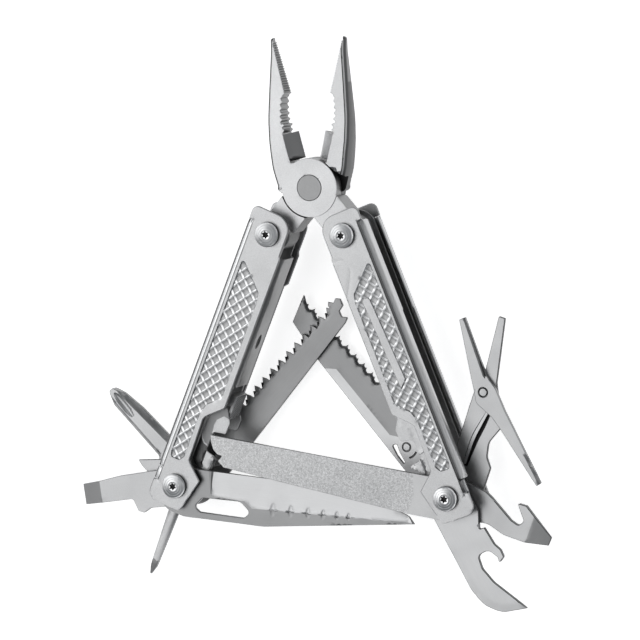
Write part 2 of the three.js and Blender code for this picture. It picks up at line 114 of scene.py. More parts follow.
def add_camera():
    """The tool lies flat and is seen from above, a little from its right and from its jaw end."""
    sa, ca = math.sin(CAMERA_TURN), math.cos(CAMERA_TURN)
    se, ce = math.sin(CAMERA_RISE), math.cos(CAMERA_RISE)
    back = Vector((sa * ce, se, ca * ce))
    right = Vector((ca, 0, -sa))
    up = Vector((-sa * se, ce, -ca * se))
    data = bpy.data.cameras.new("camera")
    data.lens = LENS
    data.sensor_width = SENSOR
    data.clip_end = 20
    camera = bpy.data.objects.new("camera", data)
    turn = Matrix((right, up, back)).transposed().to_4x4()
    camera.matrix_world = Matrix.Translation(PIVOT + CAMERA_AIM + back * CAMERA_DISTANCE) @ turn
    bpy.context.scene.collection.objects.link(camera)
    bpy.context.scene.camera = camera


def add_light(name, at, size, power):
    data = bpy.data.lights.new(name, "AREA")
    data.shape = "DISK"
    data.size = size
    data.energy = power
    light = bpy.data.objects.new(name, data)
    light.location = at
    light.rotation_euler = (-Vector(at)).to_track_quat("-Z", "Y").to_euler()
    bpy.context.scene.collection.objects.link(light)


def add_floor():
    mesh = bpy.data.meshes.new("floor")
    corners = [(x * FLOOR_HALF, y * FLOOR_HALF, 0) for x, y in ((-1, -1), (1, -1), (1, 1), (-1, 1))]
    mesh.from_pydata(corners, [], [(0, 1, 2, 3)])
    floor = bpy.data.objects.new("floor", mesh)
    bpy.context.scene.collection.objects.link(floor)
    material = bpy.data.materials.new("pale_floor")
    material.use_nodes = True
    shader = material.node_tree.nodes["Principled BSDF"]
    shader.inputs["Base Color"].default_value = (0.9, 0.9, 0.9, 1)
    shader.inputs["Roughness"].default_value = 0.9
    shader.inputs["Emission Color"].default_value = (1, 1, 1, 1)
    shader.inputs["Emission Strength"].default_value = FLOOR_GLOW
    mesh.materials.append(material)


def add_world():
    world = bpy.data.worlds.new("studio")
    world.use_nodes = True
    background = world.node_tree.nodes["Background"]
    background.inputs["Color"].default_value = (0.9, 0.95, 1, 1)
    background.inputs["Strength"].default_value = WORLD_STRENGTH
    bpy.context.scene.world = world
    bpy.context.scene.view_settings.view_transform = "Standard"


add_camera()
add_world()
add_floor()
for light_facts in LIGHTS:
    add_light(*light_facts)


# ------------------------ materials

MARKS_PER_METRE = 9000.0
CLOUDS_PER_METRE = 90.0
BUMP_HEIGHT = 0.06 * MM
MIX_FIRST, MIX_SECOND, MIX_RESULT = 6, 7, 2  # colour sockets of a mix node, which share their names


class Nodes:
    """A small helper that adds and links shader nodes."""

    def __init__(self, name):
        self.material = bpy.data.materials.new(name)
        self.material.use_nodes = True
        self.tree = self.material.node_tree
        self.shader = self.tree.nodes["Principled BSDF"]

    def add(self, kind, settings=None, **inputs):
        node = self.tree.nodes.new(kind)
        for key, value in (settings or {}).items():
            setattr(node, key, value)
        for key, value in inputs.items():
            self.set(node.inputs[key.replace("_", " ")], value)
        return node

    def set(self, socket, value):
        if isinstance(value, bpy.types.NodeSocket):
            self.tree.links.new(value, socket)
        else:
            socket.default_value = value


def grey(value):
    return (value, value * 1.003, value * 1.01, 1)


def steel(name, tone, rough, *, blast=0.0, brush=0.0, across=False, blotch=0.05, grit=0.0, grain=0.25,
          turned_finish=0.0):
    """Bare steel. blast is the bump of a bead-blasted face, brush that of fine parallel grinding marks
    along local X (or Y when across), grit that of bonded diamond dust, grain the size in mm, and
    turned_finish stretches highlights as the fine rings of a turned face do."""
    n = Nodes(name)
    where = n.add("ShaderNodeAttribute", {"attribute_name": "local"}).outputs["Vector"]
    stretch = (1.0, 0.02, 1.0) if across else (0.02, 1.0, 1.0)
    marks = n.add("ShaderNodeMapping", Vector=where, Scale=stretch)
    lines = n.add("ShaderNodeTexNoise", Vector=marks.outputs["Vector"], Scale=MARKS_PER_METRE, Detail=3.0)
    cloud = n.add("ShaderNodeTexNoise", Vector=where, Scale=CLOUDS_PER_METRE, Detail=4.0, Roughness=0.6)
    grains = n.add("ShaderNodeTexNoise", Vector=where, Scale=1.0 / (grain * MM), Detail=2.0, Roughness=0.7)

    def spread(noise, low, high):
        """The noise's usual span mapped to low..high."""
        span = n.add("ShaderNodeMapRange", Value=noise.outputs["Fac"], From_Min=0.3, From_Max=0.7,
                     To_Min=low, To_Max=high)
        return span.outputs["Result"]

    def product(first, second):
        node = n.add("ShaderNodeMath", {"operation": "MULTIPLY"})
        n.set(node.inputs[0], first)
        n.set(node.inputs[1], second)
        return node.outputs[0]

    speckle, scratch = 0.2 * blast + grit, 0.1 * brush
    shade = product(spread(cloud, 1 - blotch, 1 + blotch), spread(grains, 1 - speckle, 1 + speckle))
    shade = product(shade, spread(lines, 1 - scratch, 1 + scratch))
    colour = n.add("ShaderNodeMix", {"data_type": "RGBA", "blend_type": "MULTIPLY"})
    colour.inputs["Factor"].default_value = 1.0
    n.set(colour.inputs[MIX_FIRST], grey(tone))
    n.set(colour.inputs[MIX_SECOND], shade)
    n.set(n.shader.inputs["Base Color"], colour.outputs[MIX_RESULT])
    n.set(n.shader.inputs["Metallic"], 1.0)
    n.set(n.shader.inputs["Roughness"], spread(cloud, rough - 0.05, rough + 0.06))
    if turned_finish:
        rings = n.add("ShaderNodeTangent", {"direction_type": "RADIAL", "axis": "Z"})
        n.set(n.shader.inputs["Anisotropic"], turned_finish)
        n.set(n.shader.inputs["Tangent"], rings.outputs["Tangent"])
    normal = None
    for strength, height in ((blast + 2.0 * grit, grains), (brush, lines)):
        if strength:
            bump = n.add("ShaderNodeBump", Height=height.outputs["Fac"], Strength=min(1.0, strength))
            bump.inputs["Distance"].default_value = BUMP_HEIGHT
            if normal:
                n.set(bump.inputs["Normal"], normal)
            normal = bump.outputs["Normal"]
    if normal:
        n.set(n.shader.inputs["Normal"], normal)
    return n.material


PLATE = steel("blasted_plate_steel", 0.52, 0.38, blast=0.6, grain=0.24)
# Painted highlight and shade: the panel's ridges take a light steel and its pit floors a darker one.
PANEL_HIGHLIGHT = steel("polished_panel_painted_highlight_steel", 0.85, 0.36, blast=0.1, grain=0.3)
PIT_SHADE = steel("blasted_pit_painted_shade_steel", 0.4, 0.4, blast=0.3, grain=0.3)
# Painted highlight: a bright steel for the left handle's rolled edge, also used on the rear wire cutter.
ROLLED_HIGHLIGHT = steel("rolled_edge_painted_highlight_steel", 0.85, 0.36, blast=0.5, grain=0.35)
# Painted shade: near-black steel for the right handle's groove and the band along the left handle's rolled
# edge.
GROOVE_SHADE = steel("groove_painted_shade_steel", 0.13, 0.4)
LINER_STEEL = steel("liner_steel", 0.3, 0.4, brush=0.3, across=True)
# Darker steels for walls, chamfers, outlines and sunk places: a sheared-edge finish and painted shade.
CUT_EDGE_SHADE = steel("sheared_edge_painted_shade_steel", 0.34, 0.4, brush=0.3)
EDGE_SHADE = steel("edge_painted_shade_steel", 0.12, 0.4, brush=0.3)
JAW = steel("satin_jaw_steel", 0.6, 0.4, blast=0.4, grain=0.3)
# Painted shade: the jaw side steel darkens the front jaw's walls; the teeth steel is painted shade on the
# shaded lock leaves and also darkens the jaw teeth's walls and the front cutter.
JAW_SIDE_SHADE = steel("jaw_side_painted_shade_steel", 0.26, 0.36, brush=0.3)
TEETH_AND_SHADE = steel("cut_teeth_and_painted_shade_steel", 0.24, 0.4, brush=0.2)
BLADE = steel("satin_blade_steel", 0.54, 0.36, brush=0.25)
GRIND_FLAT = steel("ground_flat_steel", 0.3, 0.36, brush=0.25)
SAW = steel("saw_steel", 0.28, 0.36, brush=0.3)
GRIND = steel("ground_bevel_steel", 0.34, 0.34, brush=0.2, across=True)
TOOL = steel("tumbled_tool_steel", 0.5, 0.38, blast=0.3, brush=0.1)
TIP = steel("dark_ground_tip_steel", 0.22, 0.34, brush=0.2, across=True)
GRIT = steel("diamond_grit_steel", 0.5, 0.42, grit=0.34, grain=0.4)
SCREW = steel("turned_screw_steel", 0.85, 0.34, blotch=0.03, turned_finish=0.5)
# Painted shade: near-black steel for the screw recesses, the scissors slit, rib valleys, the saw's low tips
# and the jaws' lapped areas and dark lines.
RECESS_SHADE = steel("recess_painted_shade_steel", 0.03, 0.5, blotch=0.03)
RIVET = steel("rivet_steel", 0.33, 0.42, blast=0.4, grain=0.2)


# ------------------------ outlines, mm

def rounded(corners, step=9.0):
    """Points of a closed outline whose corners (x, y, radius) are rounded as far as the sides allow."""
    points = []
    count = len(corners)
    for index, corner in enumerate(corners):
        here = Vector(corner[:2])
        radius = corner[2] if len(corner) > 2 else 0
        if not radius:
            points.append(tuple(here))
            continue
        before = Vector(corners[index - 1][:2]) - here
        after = Vector(corners[(index + 1) % count][:2]) - here
        reach = 0.49 * min(before.length, after.length)
        before.normalize()
        after.normalize()
        half = math.acos(max(-1, min(1, before.dot(after)))) / 2
        tangent = min(radius / math.tan(half), reach)
        middle = here + (before + after).normalized() * (tangent / math.cos(half))
        start, end = here + before * tangent - middle, here + after * tangent - middle
        turn = math.atan2(start.x * end.y - start.y * end.x, start.dot(end))
        steps = max(1, math.ceil(abs(turn) / math.radians(step)))
        for k in range(steps + 1):
            c, s = math.cos(turn * k / steps), math.sin(turn * k / steps)
            points.append((middle.x + c * start.x - s * start.y, middle.y + s * start.x + c * start.y))
    return points


def circle(radius, x=0.0, y=0.0, count=64):
    angles = np.arange(count) * 2 * math.pi / count
    return [(x + radius * math.cos(a), y + radius * math.sin(a)) for a in angles]


def rectangle(x0, y0, x1, y1):
    return [(x0, y0), (x1, y0), (x1, y1), (x0, y1)]


def dense(points, step, closed=True):
    """The same line with no side longer than step."""
    result = []
    following = list(points[1:]) + ([points[0]] if closed else [])
    for (x0, y0), (x1, y1) in zip(points, following):
        parts = max(1, math.ceil(math.hypot(x1 - x0, y1 - y0) / step))
        result += [(x0 + (x1 - x0) * k / parts, y0 + (y1 - y0) * k / parts) for k in range(parts)]
    if not closed:
        result.append(tuple(points[-1]))
    kept = [p for k, p in enumerate(result) if math.dist(p, result[k - 1]) > 1e-4 or k == 0 and not closed]
    return np.array(kept)


def anticlockwise(points):
    x, y = points[:, 0], points[:, 1]
    area = np.sum(x * np.roll(y, -1) - np.roll(x, -1) * y)
    return points if area > 0 else points[::-1]


def offset(points, distance, closed=True):
    """A line moved to its left by a distance, mitred at its corners."""
    points = np.asarray(points, float)
    ahead = np.roll(points, -1, axis=0) - points
    if not closed:
        ahead[-1] = ahead[-2]
    ahead /= np.linalg.norm(ahead, axis=1)[:, None]
    normal = np.stack([-ahead[:, 1], ahead[:, 0]], axis=1)
    previous = np.roll(normal, 1, axis=0)
    if not closed:
        previous[0] = normal[0]
    mean = normal + previous
    mean /= np.maximum(np.linalg.norm(mean, axis=1), 1e-6)[:, None]
    stretch = 1 / np.maximum(np.sum(mean * normal, axis=1), 0.4)
    return points + mean * (distance * stretch)[:, None]


def closed_line(points):
    """A closed outline as a line that ends where it starts."""
    return np.vstack([points, points[:1]])


def inside(points, polygon):
    """Which points lie inside a closed polygon."""
    polygon = np.asarray(polygon, float)
    px, py = points[:, 0][:, None], points[:, 1][:, None]
    x0, y0 = polygon[:, 0][None], polygon[:, 1][None]
    x1, y1 = np.roll(x0, -1, axis=1), np.roll(y0, -1, axis=1)
    crosses = (y0 > py) != (y1 > py)
    rise = np.where(y1 == y0, 1e-12, y1 - y0)
    at = x0 + (py - y0) * (x1 - x0) / rise
    return (np.sum(crosses & (px < at), axis=1) % 2).astype(bool)


def distance(points, line, closed=False):
    """How far points are from a line."""
    line = np.asarray(line, float)
    a = line if closed else line[:-1]
    b = np.roll(line, -1, axis=0) if closed else line[1:]
    best = np.full(len(points), 1e9)
    for start, end in zip(a, b):
        d = end - start
        t = np.clip(((points - start) @ d) / max(d @ d, 1e-12), 0, 1)
        best = np.minimum(best, np.hypot(*(points - start - t[:, None] * d).T))
    return best


def hexagonal(polygons, step):
    """Grid points over the boxes of some polygons."""
    low = np.min([p.min(axis=0) for p in polygons], axis=0)
    high = np.max([p.max(axis=0) for p in polygons], axis=0)
    rows = np.arange(low[1] + step / 2, high[1], step * 0.866)
    columns = np.arange(low[0] + step / 2, high[0], step)
    points = [(x + (row % 2) * step / 2, y) for row, y in enumerate(rows) for x in columns]
    return np.array(points).reshape(-1, 2)


# ------------------------ relief: a flat piece with shaped faces

SHARP_ANGLE = math.radians(28)


def flat_mesh(outlines, openings, guides, fields, step, rim, grid):
    """The union of some outlines less its openings as points, triangles and the ends of its border edges.
    Mesh edges follow the guides and a ring just inside the border, and fields have a finer mesh."""
    loops = outlines + openings
    vertices, edges = [], []

    def solid(points):
        within = np.any([inside(points, o) for o in outlines], axis=0)
        for opening in openings:
            within &= ~inside(points, opening)
        return within

    def clear(points, gap):
        keep = np.ones(len(points), bool)
        for loop in loops:
            keep[keep] = distance(points[keep], loop, closed=True) > gap
        return keep

    def trace(points, closed):
        start = len(vertices)
        vertices.extend(map(tuple, points))
        last = len(points) if closed else len(points) - 1
        edges.extend((start + k, start + (k + 1) % len(points)) for k in range(last))

    for loop in loops:
        trace(loop, True)
    for loop, inward in [(o, rim) for o in outlines] + [(o, -rim) for o in openings]:
        ring = offset(loop, inward)
        ring = ring[clear(ring, 0.8 * rim) & solid(ring)]
        vertices.extend(map(tuple, ring))
    for guide in guides:
        trace(guide, False)
    for field, field_step in fields:
        points = grid(field) if grid else hexagonal([field], field_step)
        points = points[inside(points, field)]
        points = points[solid(points)]
        vertices.extend(map(tuple, points[clear(points, 0.5 * field_step)]))
    points = hexagonal(outlines, step)
    points = points[solid(points)]
    for field, field_step in fields:
        points = points[~inside(points, field)]
    vertices.extend(map(tuple, points[clear(points, 0.5 * step)]))

    flat, _, found, *_ = delaunay_2d_cdt([Vector(v) for v in vertices], edges, [], 0, 1e-5)
    xy = np.array([tuple(v) for v in flat])
    triangles = np.array([f for f in found if len(f) == 3])
    triangles = triangles[solid(xy[triangles].mean(axis=1))]
    a, b, c = (xy[triangles[:, k]] for k in range(3))
    area = (b[:, 0] - a[:, 0]) * (c[:, 1] - a[:, 1]) - (b[:, 1] - a[:, 1]) * (c[:, 0] - a[:, 0])
    triangles = triangles[np.abs(area) > 1e-9]
    used, triangles = np.unique(triangles, return_inverse=True)
    triangles = triangles.reshape(-1, 3)
    xy = xy[used]
    count = len(xy)
    start = triangles.reshape(-1)
    end = np.roll(triangles, -1, axis=1).reshape(-1)
    border = ~np.isin(start * count + end, end * count + start)
    return xy, triangles, start[border], end[border]


def relief(shapes, low, high, *, holes=(), creases=(), patches=(), top=None, bottom=None,
           step=2.0, rim=0.12, wrap=None, paint=None, wall=None, grid=None, edged=False):
    """One closed body: the union of some outlines less its holes, between a bottom and a top surface.
    creases are lines that mesh edges follow, patches are (outline, step) fields of finer mesh, rim is the
    chamfer along every edge, wrap bends the finished body, paint picks a material for a face at (x, y,
    is_top), wall one for a side wall at (x, y) that is otherwise 1, grid gives the mesh points of a patch,
    and edged paints the chamfers like the walls, a thin dark outline of painted shade."""
    outlines = [anticlockwise(dense(s, step)) for s in shapes]
    openings = [anticlockwise(dense(h, step)) for h in holes]
    guides = [dense(c, step, closed=False) for c in creases]
    fields = [(dense(p, s), s) for p, s in patches]
    xy, triangles, start, end = flat_mesh(outlines, openings, guides, fields, step, rim, grid)
    count = len(xy)
    x, y = xy.T
    upper = np.full(count, float(high)) if top is None else np.asarray(top(x, y), float) + 0 * x
    lower = np.full(count, float(low)) if bottom is None else np.asarray(bottom(x, y), float) + 0 * x
    on_rim = np.zeros(count, bool)
    on_rim[start] = on_rim[end] = True
    chamfer = np.where(on_rim, np.minimum(rim, 0.3 * (upper - lower)), 0)
    body = np.concatenate([
        np.stack([x, y, upper - chamfer], axis=1), np.stack([x, y, lower + chamfer], axis=1),
    ])
    if wrap:
        body = wrap(body)
    middles = xy[triangles].mean(axis=1)
    faces = np.zeros((2, len(triangles)), int)
    if paint:
        faces += np.array([paint(*middles.T, is_top) + faces[0] for is_top in (True, False)])
    # A thin band along every border takes the wall's slot: a dark outline of painted shade.
    if edged:
        to_border = np.min([distance(middles, loop, closed=True) for loop in outlines + openings], axis=0)
        faces[:, to_border < rim] = 1
    polygons = triangles.tolist() + (triangles[:, ::-1] + count).tolist()
    walls = np.stack([start + count, end + count, end, start], axis=1)
    polygons += walls.tolist()
    sides = wall(*((xy[start] + xy[end]) / 2).T) if wall else np.ones(len(walls), int)
    return body, polygons, faces.ravel().tolist() + sides.tolist()


def turned(profile, count=72):
    """A closed body of revolution about Z from (radius, height) points that start and end on the axis."""
    angles = np.arange(count) * 2 * math.pi / count
    body, polygons, rings = [], [], []
    for radius, height in profile:
        around = angles if radius else [0]
        rings.append(range(len(body), len(body) + len(around)))
        body += [(radius * math.cos(a), radius * math.sin(a), height) for a in around]
    for first, second in zip(rings, rings[1:]):
        for k in range(count):
            after = (k + 1) % count
            corners = [first[k % len(first)], second[k % len(second)],
                       second[after % len(second)], first[after % len(first)]]
            polygons.append(list(dict.fromkeys(corners)))
    return np.array(body, float), polygons, [0] * len(polygons)


def moved(part, x=0.0, y=0.0):
    body, polygons, slots = part
    return body + np.array([x, y, 0]), polygons, slots


def mirrored(part, axis):
    """The same body mirrored along one axis: 0 is X and 2 is Z."""
    body, polygons, slots = part
    signs = np.ones(3)
    signs[axis] = -1
    return body * signs, [p[::-1] for p in polygons], slots


def sided(part, flip):
    """A body drawn for the left side, mirrored in X for the right one."""
    return mirrored(part, 0) if flip else part


def piece(name, parts, materials, matrix, body, node):
    """One object from some bodies in millimetres, riding on a CAD body in place of a CAD piece."""
    vertices, polygons, slots = [], [], []
    for part, faces, indices in parts:
        polygons += [[v + len(vertices) for v in face] for face in faces]
        vertices += (part * MM).tolist()
        slots += list(indices)
    mesh = bpy.data.meshes.new(name)
    mesh.from_pydata(vertices, [], polygons)
    for material in materials:
        mesh.materials.append(material)
    mesh.polygons.foreach_set("material_index", np.array(slots, np.int32))
    mesh.polygons.foreach_set("use_smooth", np.ones(len(polygons), bool))
    mesh.set_sharp_from_angle(angle=SHARP_ANGLE)
    mesh.validate()
    mesh.update()
    local = mesh.attributes.new("local", "FLOAT_VECTOR", "POINT")
    local.data.foreach_set("vector", np.array([v.co for v in mesh.vertices], np.float32).ravel())
    mesh.transform(matrix)
    made = bpy.data.objects.new(name, mesh)
    bpy.context.scene.collection.objects.link(made)
    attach(made, body)
    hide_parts(node)


# ------------------------ shaping of surfaces

def ramp(value, start, end):
    """0 before start, 1 after end, straight between."""
    return np.clip((value - start) / (end - start), 0, 1)


def points_of(x, y):
    return np.stack([x, y], axis=1)


def near(x, y, line, width):
    """1 on a line, falling to 0 at a distance of width."""
    return 1 - ramp(distance(points_of(x, y), line), 0, width)


def beside(line, *offsets):
    """The line itself and copies of it at some offsets, as creases."""
    return [line] + [offset(line, o, closed=False) for o in offsets]


def arc(middle, radius, start, end, count=24):
    angles = np.radians(np.linspace(start, end, count))
    return [(middle[0] + radius * math.cos(a), middle[1] + radius * math.sin(a)) for a in angles]


def ring_guides(*radii, x=0.0, y=0.0):
    return [circle(r, x, y) + [(x + r, y)] for r in radii]


# ------------------------ handle plates

BEND_AT, BEND_R = -6.2, 2.4
FLANGE_TOP, FLANGE_END = 2.3, -86.9
ROLL_END = -91.4  # the rolled look of the edge carries on past the flange to here
DARK_LINE = (-7.6, -9.4)  # the band of the flat blank painted dark on the left handle, a painted dark reflection along its rolled edge
PLATE_OUTLINE = [
    (-6.2, FLANGE_TOP + 0.2), (-8.05, FLANGE_TOP + 0.2), (-8.1, 7.4, 4.8), (6.4, 7.4, 5.4), (6.4, -5.2, 0.4),
    (6.9, -6.2, 0.4), (6.9, -59.6, 1.6), (1.1, -65.4, 2.6), (1.5, -81.2, 1.4), (7.5, -86.0, 0.8),
    (4.4, -98.4, 1.6), (-8.0, -98.9, 6.8), (-8.0, ROLL_END - 0.4), (-6.6, ROLL_END - 0.3), (-6.6, ROLL_END),
    (-8.0, ROLL_END), (-8.0, -87.3, 0.2), (-6.2, -87.3),
]
REAR_EDGE = [(6.9, -6.2, 0.4), (6.9, -16.6, 0.4), (5.8, -18.0, 0.4), (5.8, -58.6, 1.6)]
REAR_OUTLINE = PLATE_OUTLINE[:5] + REAR_EDGE + PLATE_OUTLINE[7:]
FLANGE_OUTLINE = [
    (-5.5, FLANGE_TOP), (-11.77, FLANGE_TOP, 0.4), (-11.77, -29.0, 0.3), (-11.17, -29.8, 0.3),
    (-11.17, FLANGE_END, 0.4), (-5.5, FLANGE_END),
]
PANEL_OUTLINE = [
    (-5.3, -10.4, 0.8), (4.0, -19.0, 1.2), (4.6, -21.6, 2), (4.8, -57.2, 1.6), (0.6, -61.0, 2.0),
    (-0.5, -64.4, 3.0), (-0.4, -80.4, 1.0), (-1.6, -82.4, 0.8), (-5.0, -82.6, 1.0), (-5.5, -80.4, 1.0),
]
PANEL_WALL, PANEL_DEPTH = 0.35, 0.5
PIT_DEPTH = 0.44
PIT_STEPS = np.array([(1.68, 2.37), (-2.0, 1.7)])  # from one pit to its neighbours along both rows
PIT_SHARE = 0.125  # of a pit, the mesh's grain and half a ridge
GROOVE_DEPTH = 0.14
BAR = np.array([(0.75, -22.8), (-0.7, -51.8)])
BAR_HALF, BAR_SLANT, BAR_WALL = 1.45, 1.2, 0.22
BAR_FOOT, BAR_TOP = 0.47, 0.02  # below the plate's face
TONGUE = [(6.8, -6.9), (3.4, -7.2), (2.1, -8.6), (1.9, -11.6), (6.6, -19.6)]
TONGUE_DEPTH, TONGUE_WIDTH = 0.05, 0.3
FACE, EDGE, RIDGE, ROLLED, DARK, PIT_FLOOR = range(6)  # the materials of a cover plate, in order; RIDGE is painted highlight, PIT_FLOOR and DARK painted shade, ROLLED painted highlight on the left handle


def bent_sheet(body):
    """Rolls the palm edge of a plate over into its flange."""
    x, y, z = body[:, 0], body[:, 1], body[:, 2]
    over = (x < BEND_AT) & (y < FLANGE_TOP + 0.1) & (y > FLANGE_END - 0.1)
    along = BEND_AT - x
    turn = np.clip(along / BEND_R, 0, math.pi / 2)
    past = np.maximum(along - BEND_R * math.pi / 2, 0)
    radius = BEND_R + z - PLATE_OUT
    bent_x = BEND_AT - radius * np.sin(turn)
    bent_z = PLATE_OUT - BEND_R + radius * np.cos(turn) - past
    return np.stack([np.where(over, bent_x, x), y, np.where(over, bent_z, z)], axis=1)


def lattice(x, y):
    """Position in the panel's grid of pits, counted in pits along the grid's two steps."""
    return (points_of(x, y) @ np.linalg.inv(PIT_STEPS)).T


def lattice_points(polygon):
    """Points at every share of a pit over a polygon's box, so that mesh edges run along the grid."""
    ranges = [np.arange(math.floor(c.min()), math.ceil(c.max()) + PIT_SHARE, PIT_SHARE)
              for c in lattice(polygon[:, 0], polygon[:, 1])]
    return np.stack(np.meshgrid(*ranges), axis=-1).reshape(-1, 2) @ PIT_STEPS


def blank_bar():
    """The outline of the raised bar in the right handle's panel: round above, slanted below."""
    upper, lower = BAR
    along = (lower - upper) / np.linalg.norm(lower - upper)
    across = np.array([-along[1], along[0]])
    cap = [upper + BAR_HALF * (math.cos(a) * across - math.sin(a) * along)
           for a in np.linspace(0, math.pi, 9)]
    foot = BAR_HALF * across + BAR_SLANT * along
    return np.array([lower + foot] + cap + [lower - foot])


def cover_plate(outline, with_bar, groove, dark_line):
    """One cover plate: a sunk panel of diamond pits and a rolled palm edge behind a fine groove, with painted
    shade in the pits, groove and outer band and painted highlight on the ridges and the left rolled edge.
    """
    border = anticlockwise(dense(rounded(PANEL_OUTLINE), 0.8))
    floor = offset(border, PANEL_WALL)
    lengthwise = [BEND_AT - k * BEND_R * math.pi / 16 for k in range(9)]
    lengthwise += [BEND_AT + 0.1, BEND_AT - groove, *DARK_LINE]
    creases = [closed_line(border), closed_line(floor)]
    creases += [[(x, FLANGE_TOP), (x, ROLL_END)] for x in lengthwise]
    bar = blank_bar()
    if with_bar:
        creases += [closed_line(bar), closed_line(offset(anticlockwise(bar), BAR_WALL))]
        creases += beside(TONGUE, TONGUE_WIDTH, -TONGUE_WIDTH)

    def grooved(x, y):
        return (x < BEND_AT + 0.1) & (x > BEND_AT - groove) & (y < FLANGE_TOP)

    def surface(x, y):
        at = points_of(x, y)
        sunk = np.where(inside(at, border), ramp(distance(at, border, True), 0, PANEL_WALL), 0)
        pit = np.mean(np.abs(np.sin(math.pi * lattice(x, y))), axis=0)
        height = -sunk * (PANEL_DEPTH - PIT_DEPTH + PIT_DEPTH * pit)
        if with_bar:
            on_bar = ramp(distance(at, bar, True), 0, BAR_WALL)
            height = np.where(inside(at, bar), on_bar * (BAR_FOOT - BAR_TOP) - BAR_FOOT, height)
            height = height - TONGUE_DEPTH * near(x, y, TONGUE, TONGUE_WIDTH)
        share = np.clip((BEND_AT + 0.1 - x) / (groove + 0.1), 0, 1)
        height = height - GROOVE_DEPTH * np.sin(math.pi * share) * (grooved(x, y) & (y < FLANGE_TOP - 0.1))
        turn = np.clip((BEND_AT - x) / BEND_R, 0, 1.1)
        rolled_off = (y < FLANGE_END - 0.1) & (y > ROLL_END - 0.05)
        return PLATE_OUT + height - np.where(rolled_off, BEND_R * (1 - np.cos(turn)), 0)

    def paint(x, y, is_top):
        if not is_top:
            return FACE
        at, grid = points_of(x, y), lattice(x, y)
        in_panel = inside(at, border) & ~(inside(at, bar) & with_bar)
        in_pit = in_panel & (np.min(np.abs(grid - np.round(grid)), axis=0) > PIT_SHARE)
        rolled = (x < BEND_AT - 0.02) & (y < FLANGE_TOP) & (y > ROLL_END)
        in_groove = grooved(x, y) & (y > ROLL_END)
        outer_line = dark_line & (x < DARK_LINE[0]) & (x > DARK_LINE[1]) & (y < FLANGE_TOP)
        # Painted light and shade: pit floors dark, ridges light, the groove and the outer band dark, the
        # rolled edge in its own steel.
        return np.select([in_pit, in_panel, in_groove, outer_line, rolled],
                         [PIT_FLOOR, RIDGE, EDGE if dark_line else DARK, DARK, ROLLED], FACE)

    return relief(
        [rounded(outline), rounded(FLANGE_OUTLINE)], PLATE_IN, PLATE_OUT,
        holes=[circle(BORE_R), circle(BORE_R, 0, -SPAN)], creases=creases, patches=[(floor, 0.3)],
        grid=lattice_points, top=surface, step=1.5, rim=0.26, wrap=bent_sheet, paint=paint)


def add_plates():
    for side, matrix, flip in HANDLES:
        # The left handle's rolled edge takes the bright steel, painted highlight, and its groove the edge
        # steel; the right one's rolled edge takes blade steel and its wide groove the near-black steel,
        # painted shade.
        groove, rolled = (0.9, BLADE) if flip else (0.3, ROLLED_HIGHLIGHT)
        for facing, outline in (("front", PLATE_OUTLINE), ("rear", REAR_OUTLINE)):
            part = sided(cover_plate(outline, flip and facing == "front", groove, not flip), flip)
            if facing == "rear":
                part = mirrored(part, 2)
            piece(f"{side}_{facing}_cover", [part], [PLATE, CUT_EDGE_SHADE, PANEL_HIGHLIGHT, rolled, GROOVE_SHADE, PIT_SHADE], matrix,
                  side + "_handle", f"{side}_{facing}_plate")


# ------------------------ channels, lock leaves and sliders

WEB_FACE, WEB_BEND = 6.9, 1.4  # the web's outer face and the outer radius of its two folds
WEB_HALF = LINER[1] - WEB_BEND
WEB_TURN = WEB_BEND * math.pi / 2
LINER_START = WEB_HALF + WEB_TURN  # across the flat blank
SHEET = 0.6
WEB_TOP, WEB_END = -6.6, -52.6
WINDOW_AT, WINDOW_HALF = -36.5, (1.5, 2.6)
LINER_SHAPE = [
    (5.4, -6.1), (5.3, 7.0, 5), (-7.0, 7.0, 6.4), (-6.8, -60, 2), (-6.8, -97.4, 6), (5.6, -97.4, 4),
    (6.8, -86.6, 1), (0.8, -82.6, 1.6), (0.4, -64.2, 1.6), (5.9, -58.5, 0.8), (5.9, -53.1),
]


def bent_channel(body):
    """Folds the flat blank into a U: web in the middle, a liner on each side."""
    across, y, h = body[:, 0], body[:, 1], body[:, 2]
    sign = np.sign(across)
    s = np.abs(across)
    in_web = (y < WEB_TOP + 0.1) & (y > WEB_END - 0.1)
    turn = np.clip((s - WEB_HALF) / WEB_BEND, 0, math.pi / 2)
    radius = WEB_BEND + h
    past = np.maximum(s - LINER_START, 0)
    x = WEB_FACE - WEB_BEND + radius * np.cos(turn) - past
    z = np.minimum(s, WEB_HALF) + radius * np.sin(turn)
    flat_x = WEB_FACE - WEB_BEND - (s - LINER_START)
    outside = ~in_web | (s > LINER_START)
    x = np.where(outside, flat_x, x)
    z = np.where(outside, LINER[1] + h, z)
    return np.stack([x, y, sign * z], axis=1)


def channel(flip):
    """The U-shaped channel as one folded sheet with an oval window in its web."""
    liner_side = LINER_START + WEB_FACE - WEB_BEND
    reach = LINER_START + 2
    shapes = [[(sign * (liner_side - x), y) for x, y in rounded(LINER_SHAPE)] for sign in (1, -1)]
    shapes.append(rectangle(-reach, WEB_END, reach, WEB_TOP))
    holes = [[(WINDOW_HALF[0] * math.cos(a), WINDOW_AT + WINDOW_HALF[1] * math.sin(a))
              for a in np.linspace(0, 6.1, 28)]]
    holes += [circle(BORE_R, sign * liner_side, y) for sign in (1, -1) for y in (0, -SPAN)]
    bends = [[(sign * (WEB_HALF + WEB_TURN * k / 6), y) for y in (WEB_TOP, WEB_END)]
             for k in range(7) for sign in (1, -1)]
    body, polygons, slots = relief(shapes, -SHEET, 0.0, holes=holes, creases=bends, rim=0.1,
                                    wrap=bent_channel)
    # The liners are wound the other way round than the blank, so the faces are turned once.
    return sided((body, [p[::-1] for p in polygons], slots), flip)


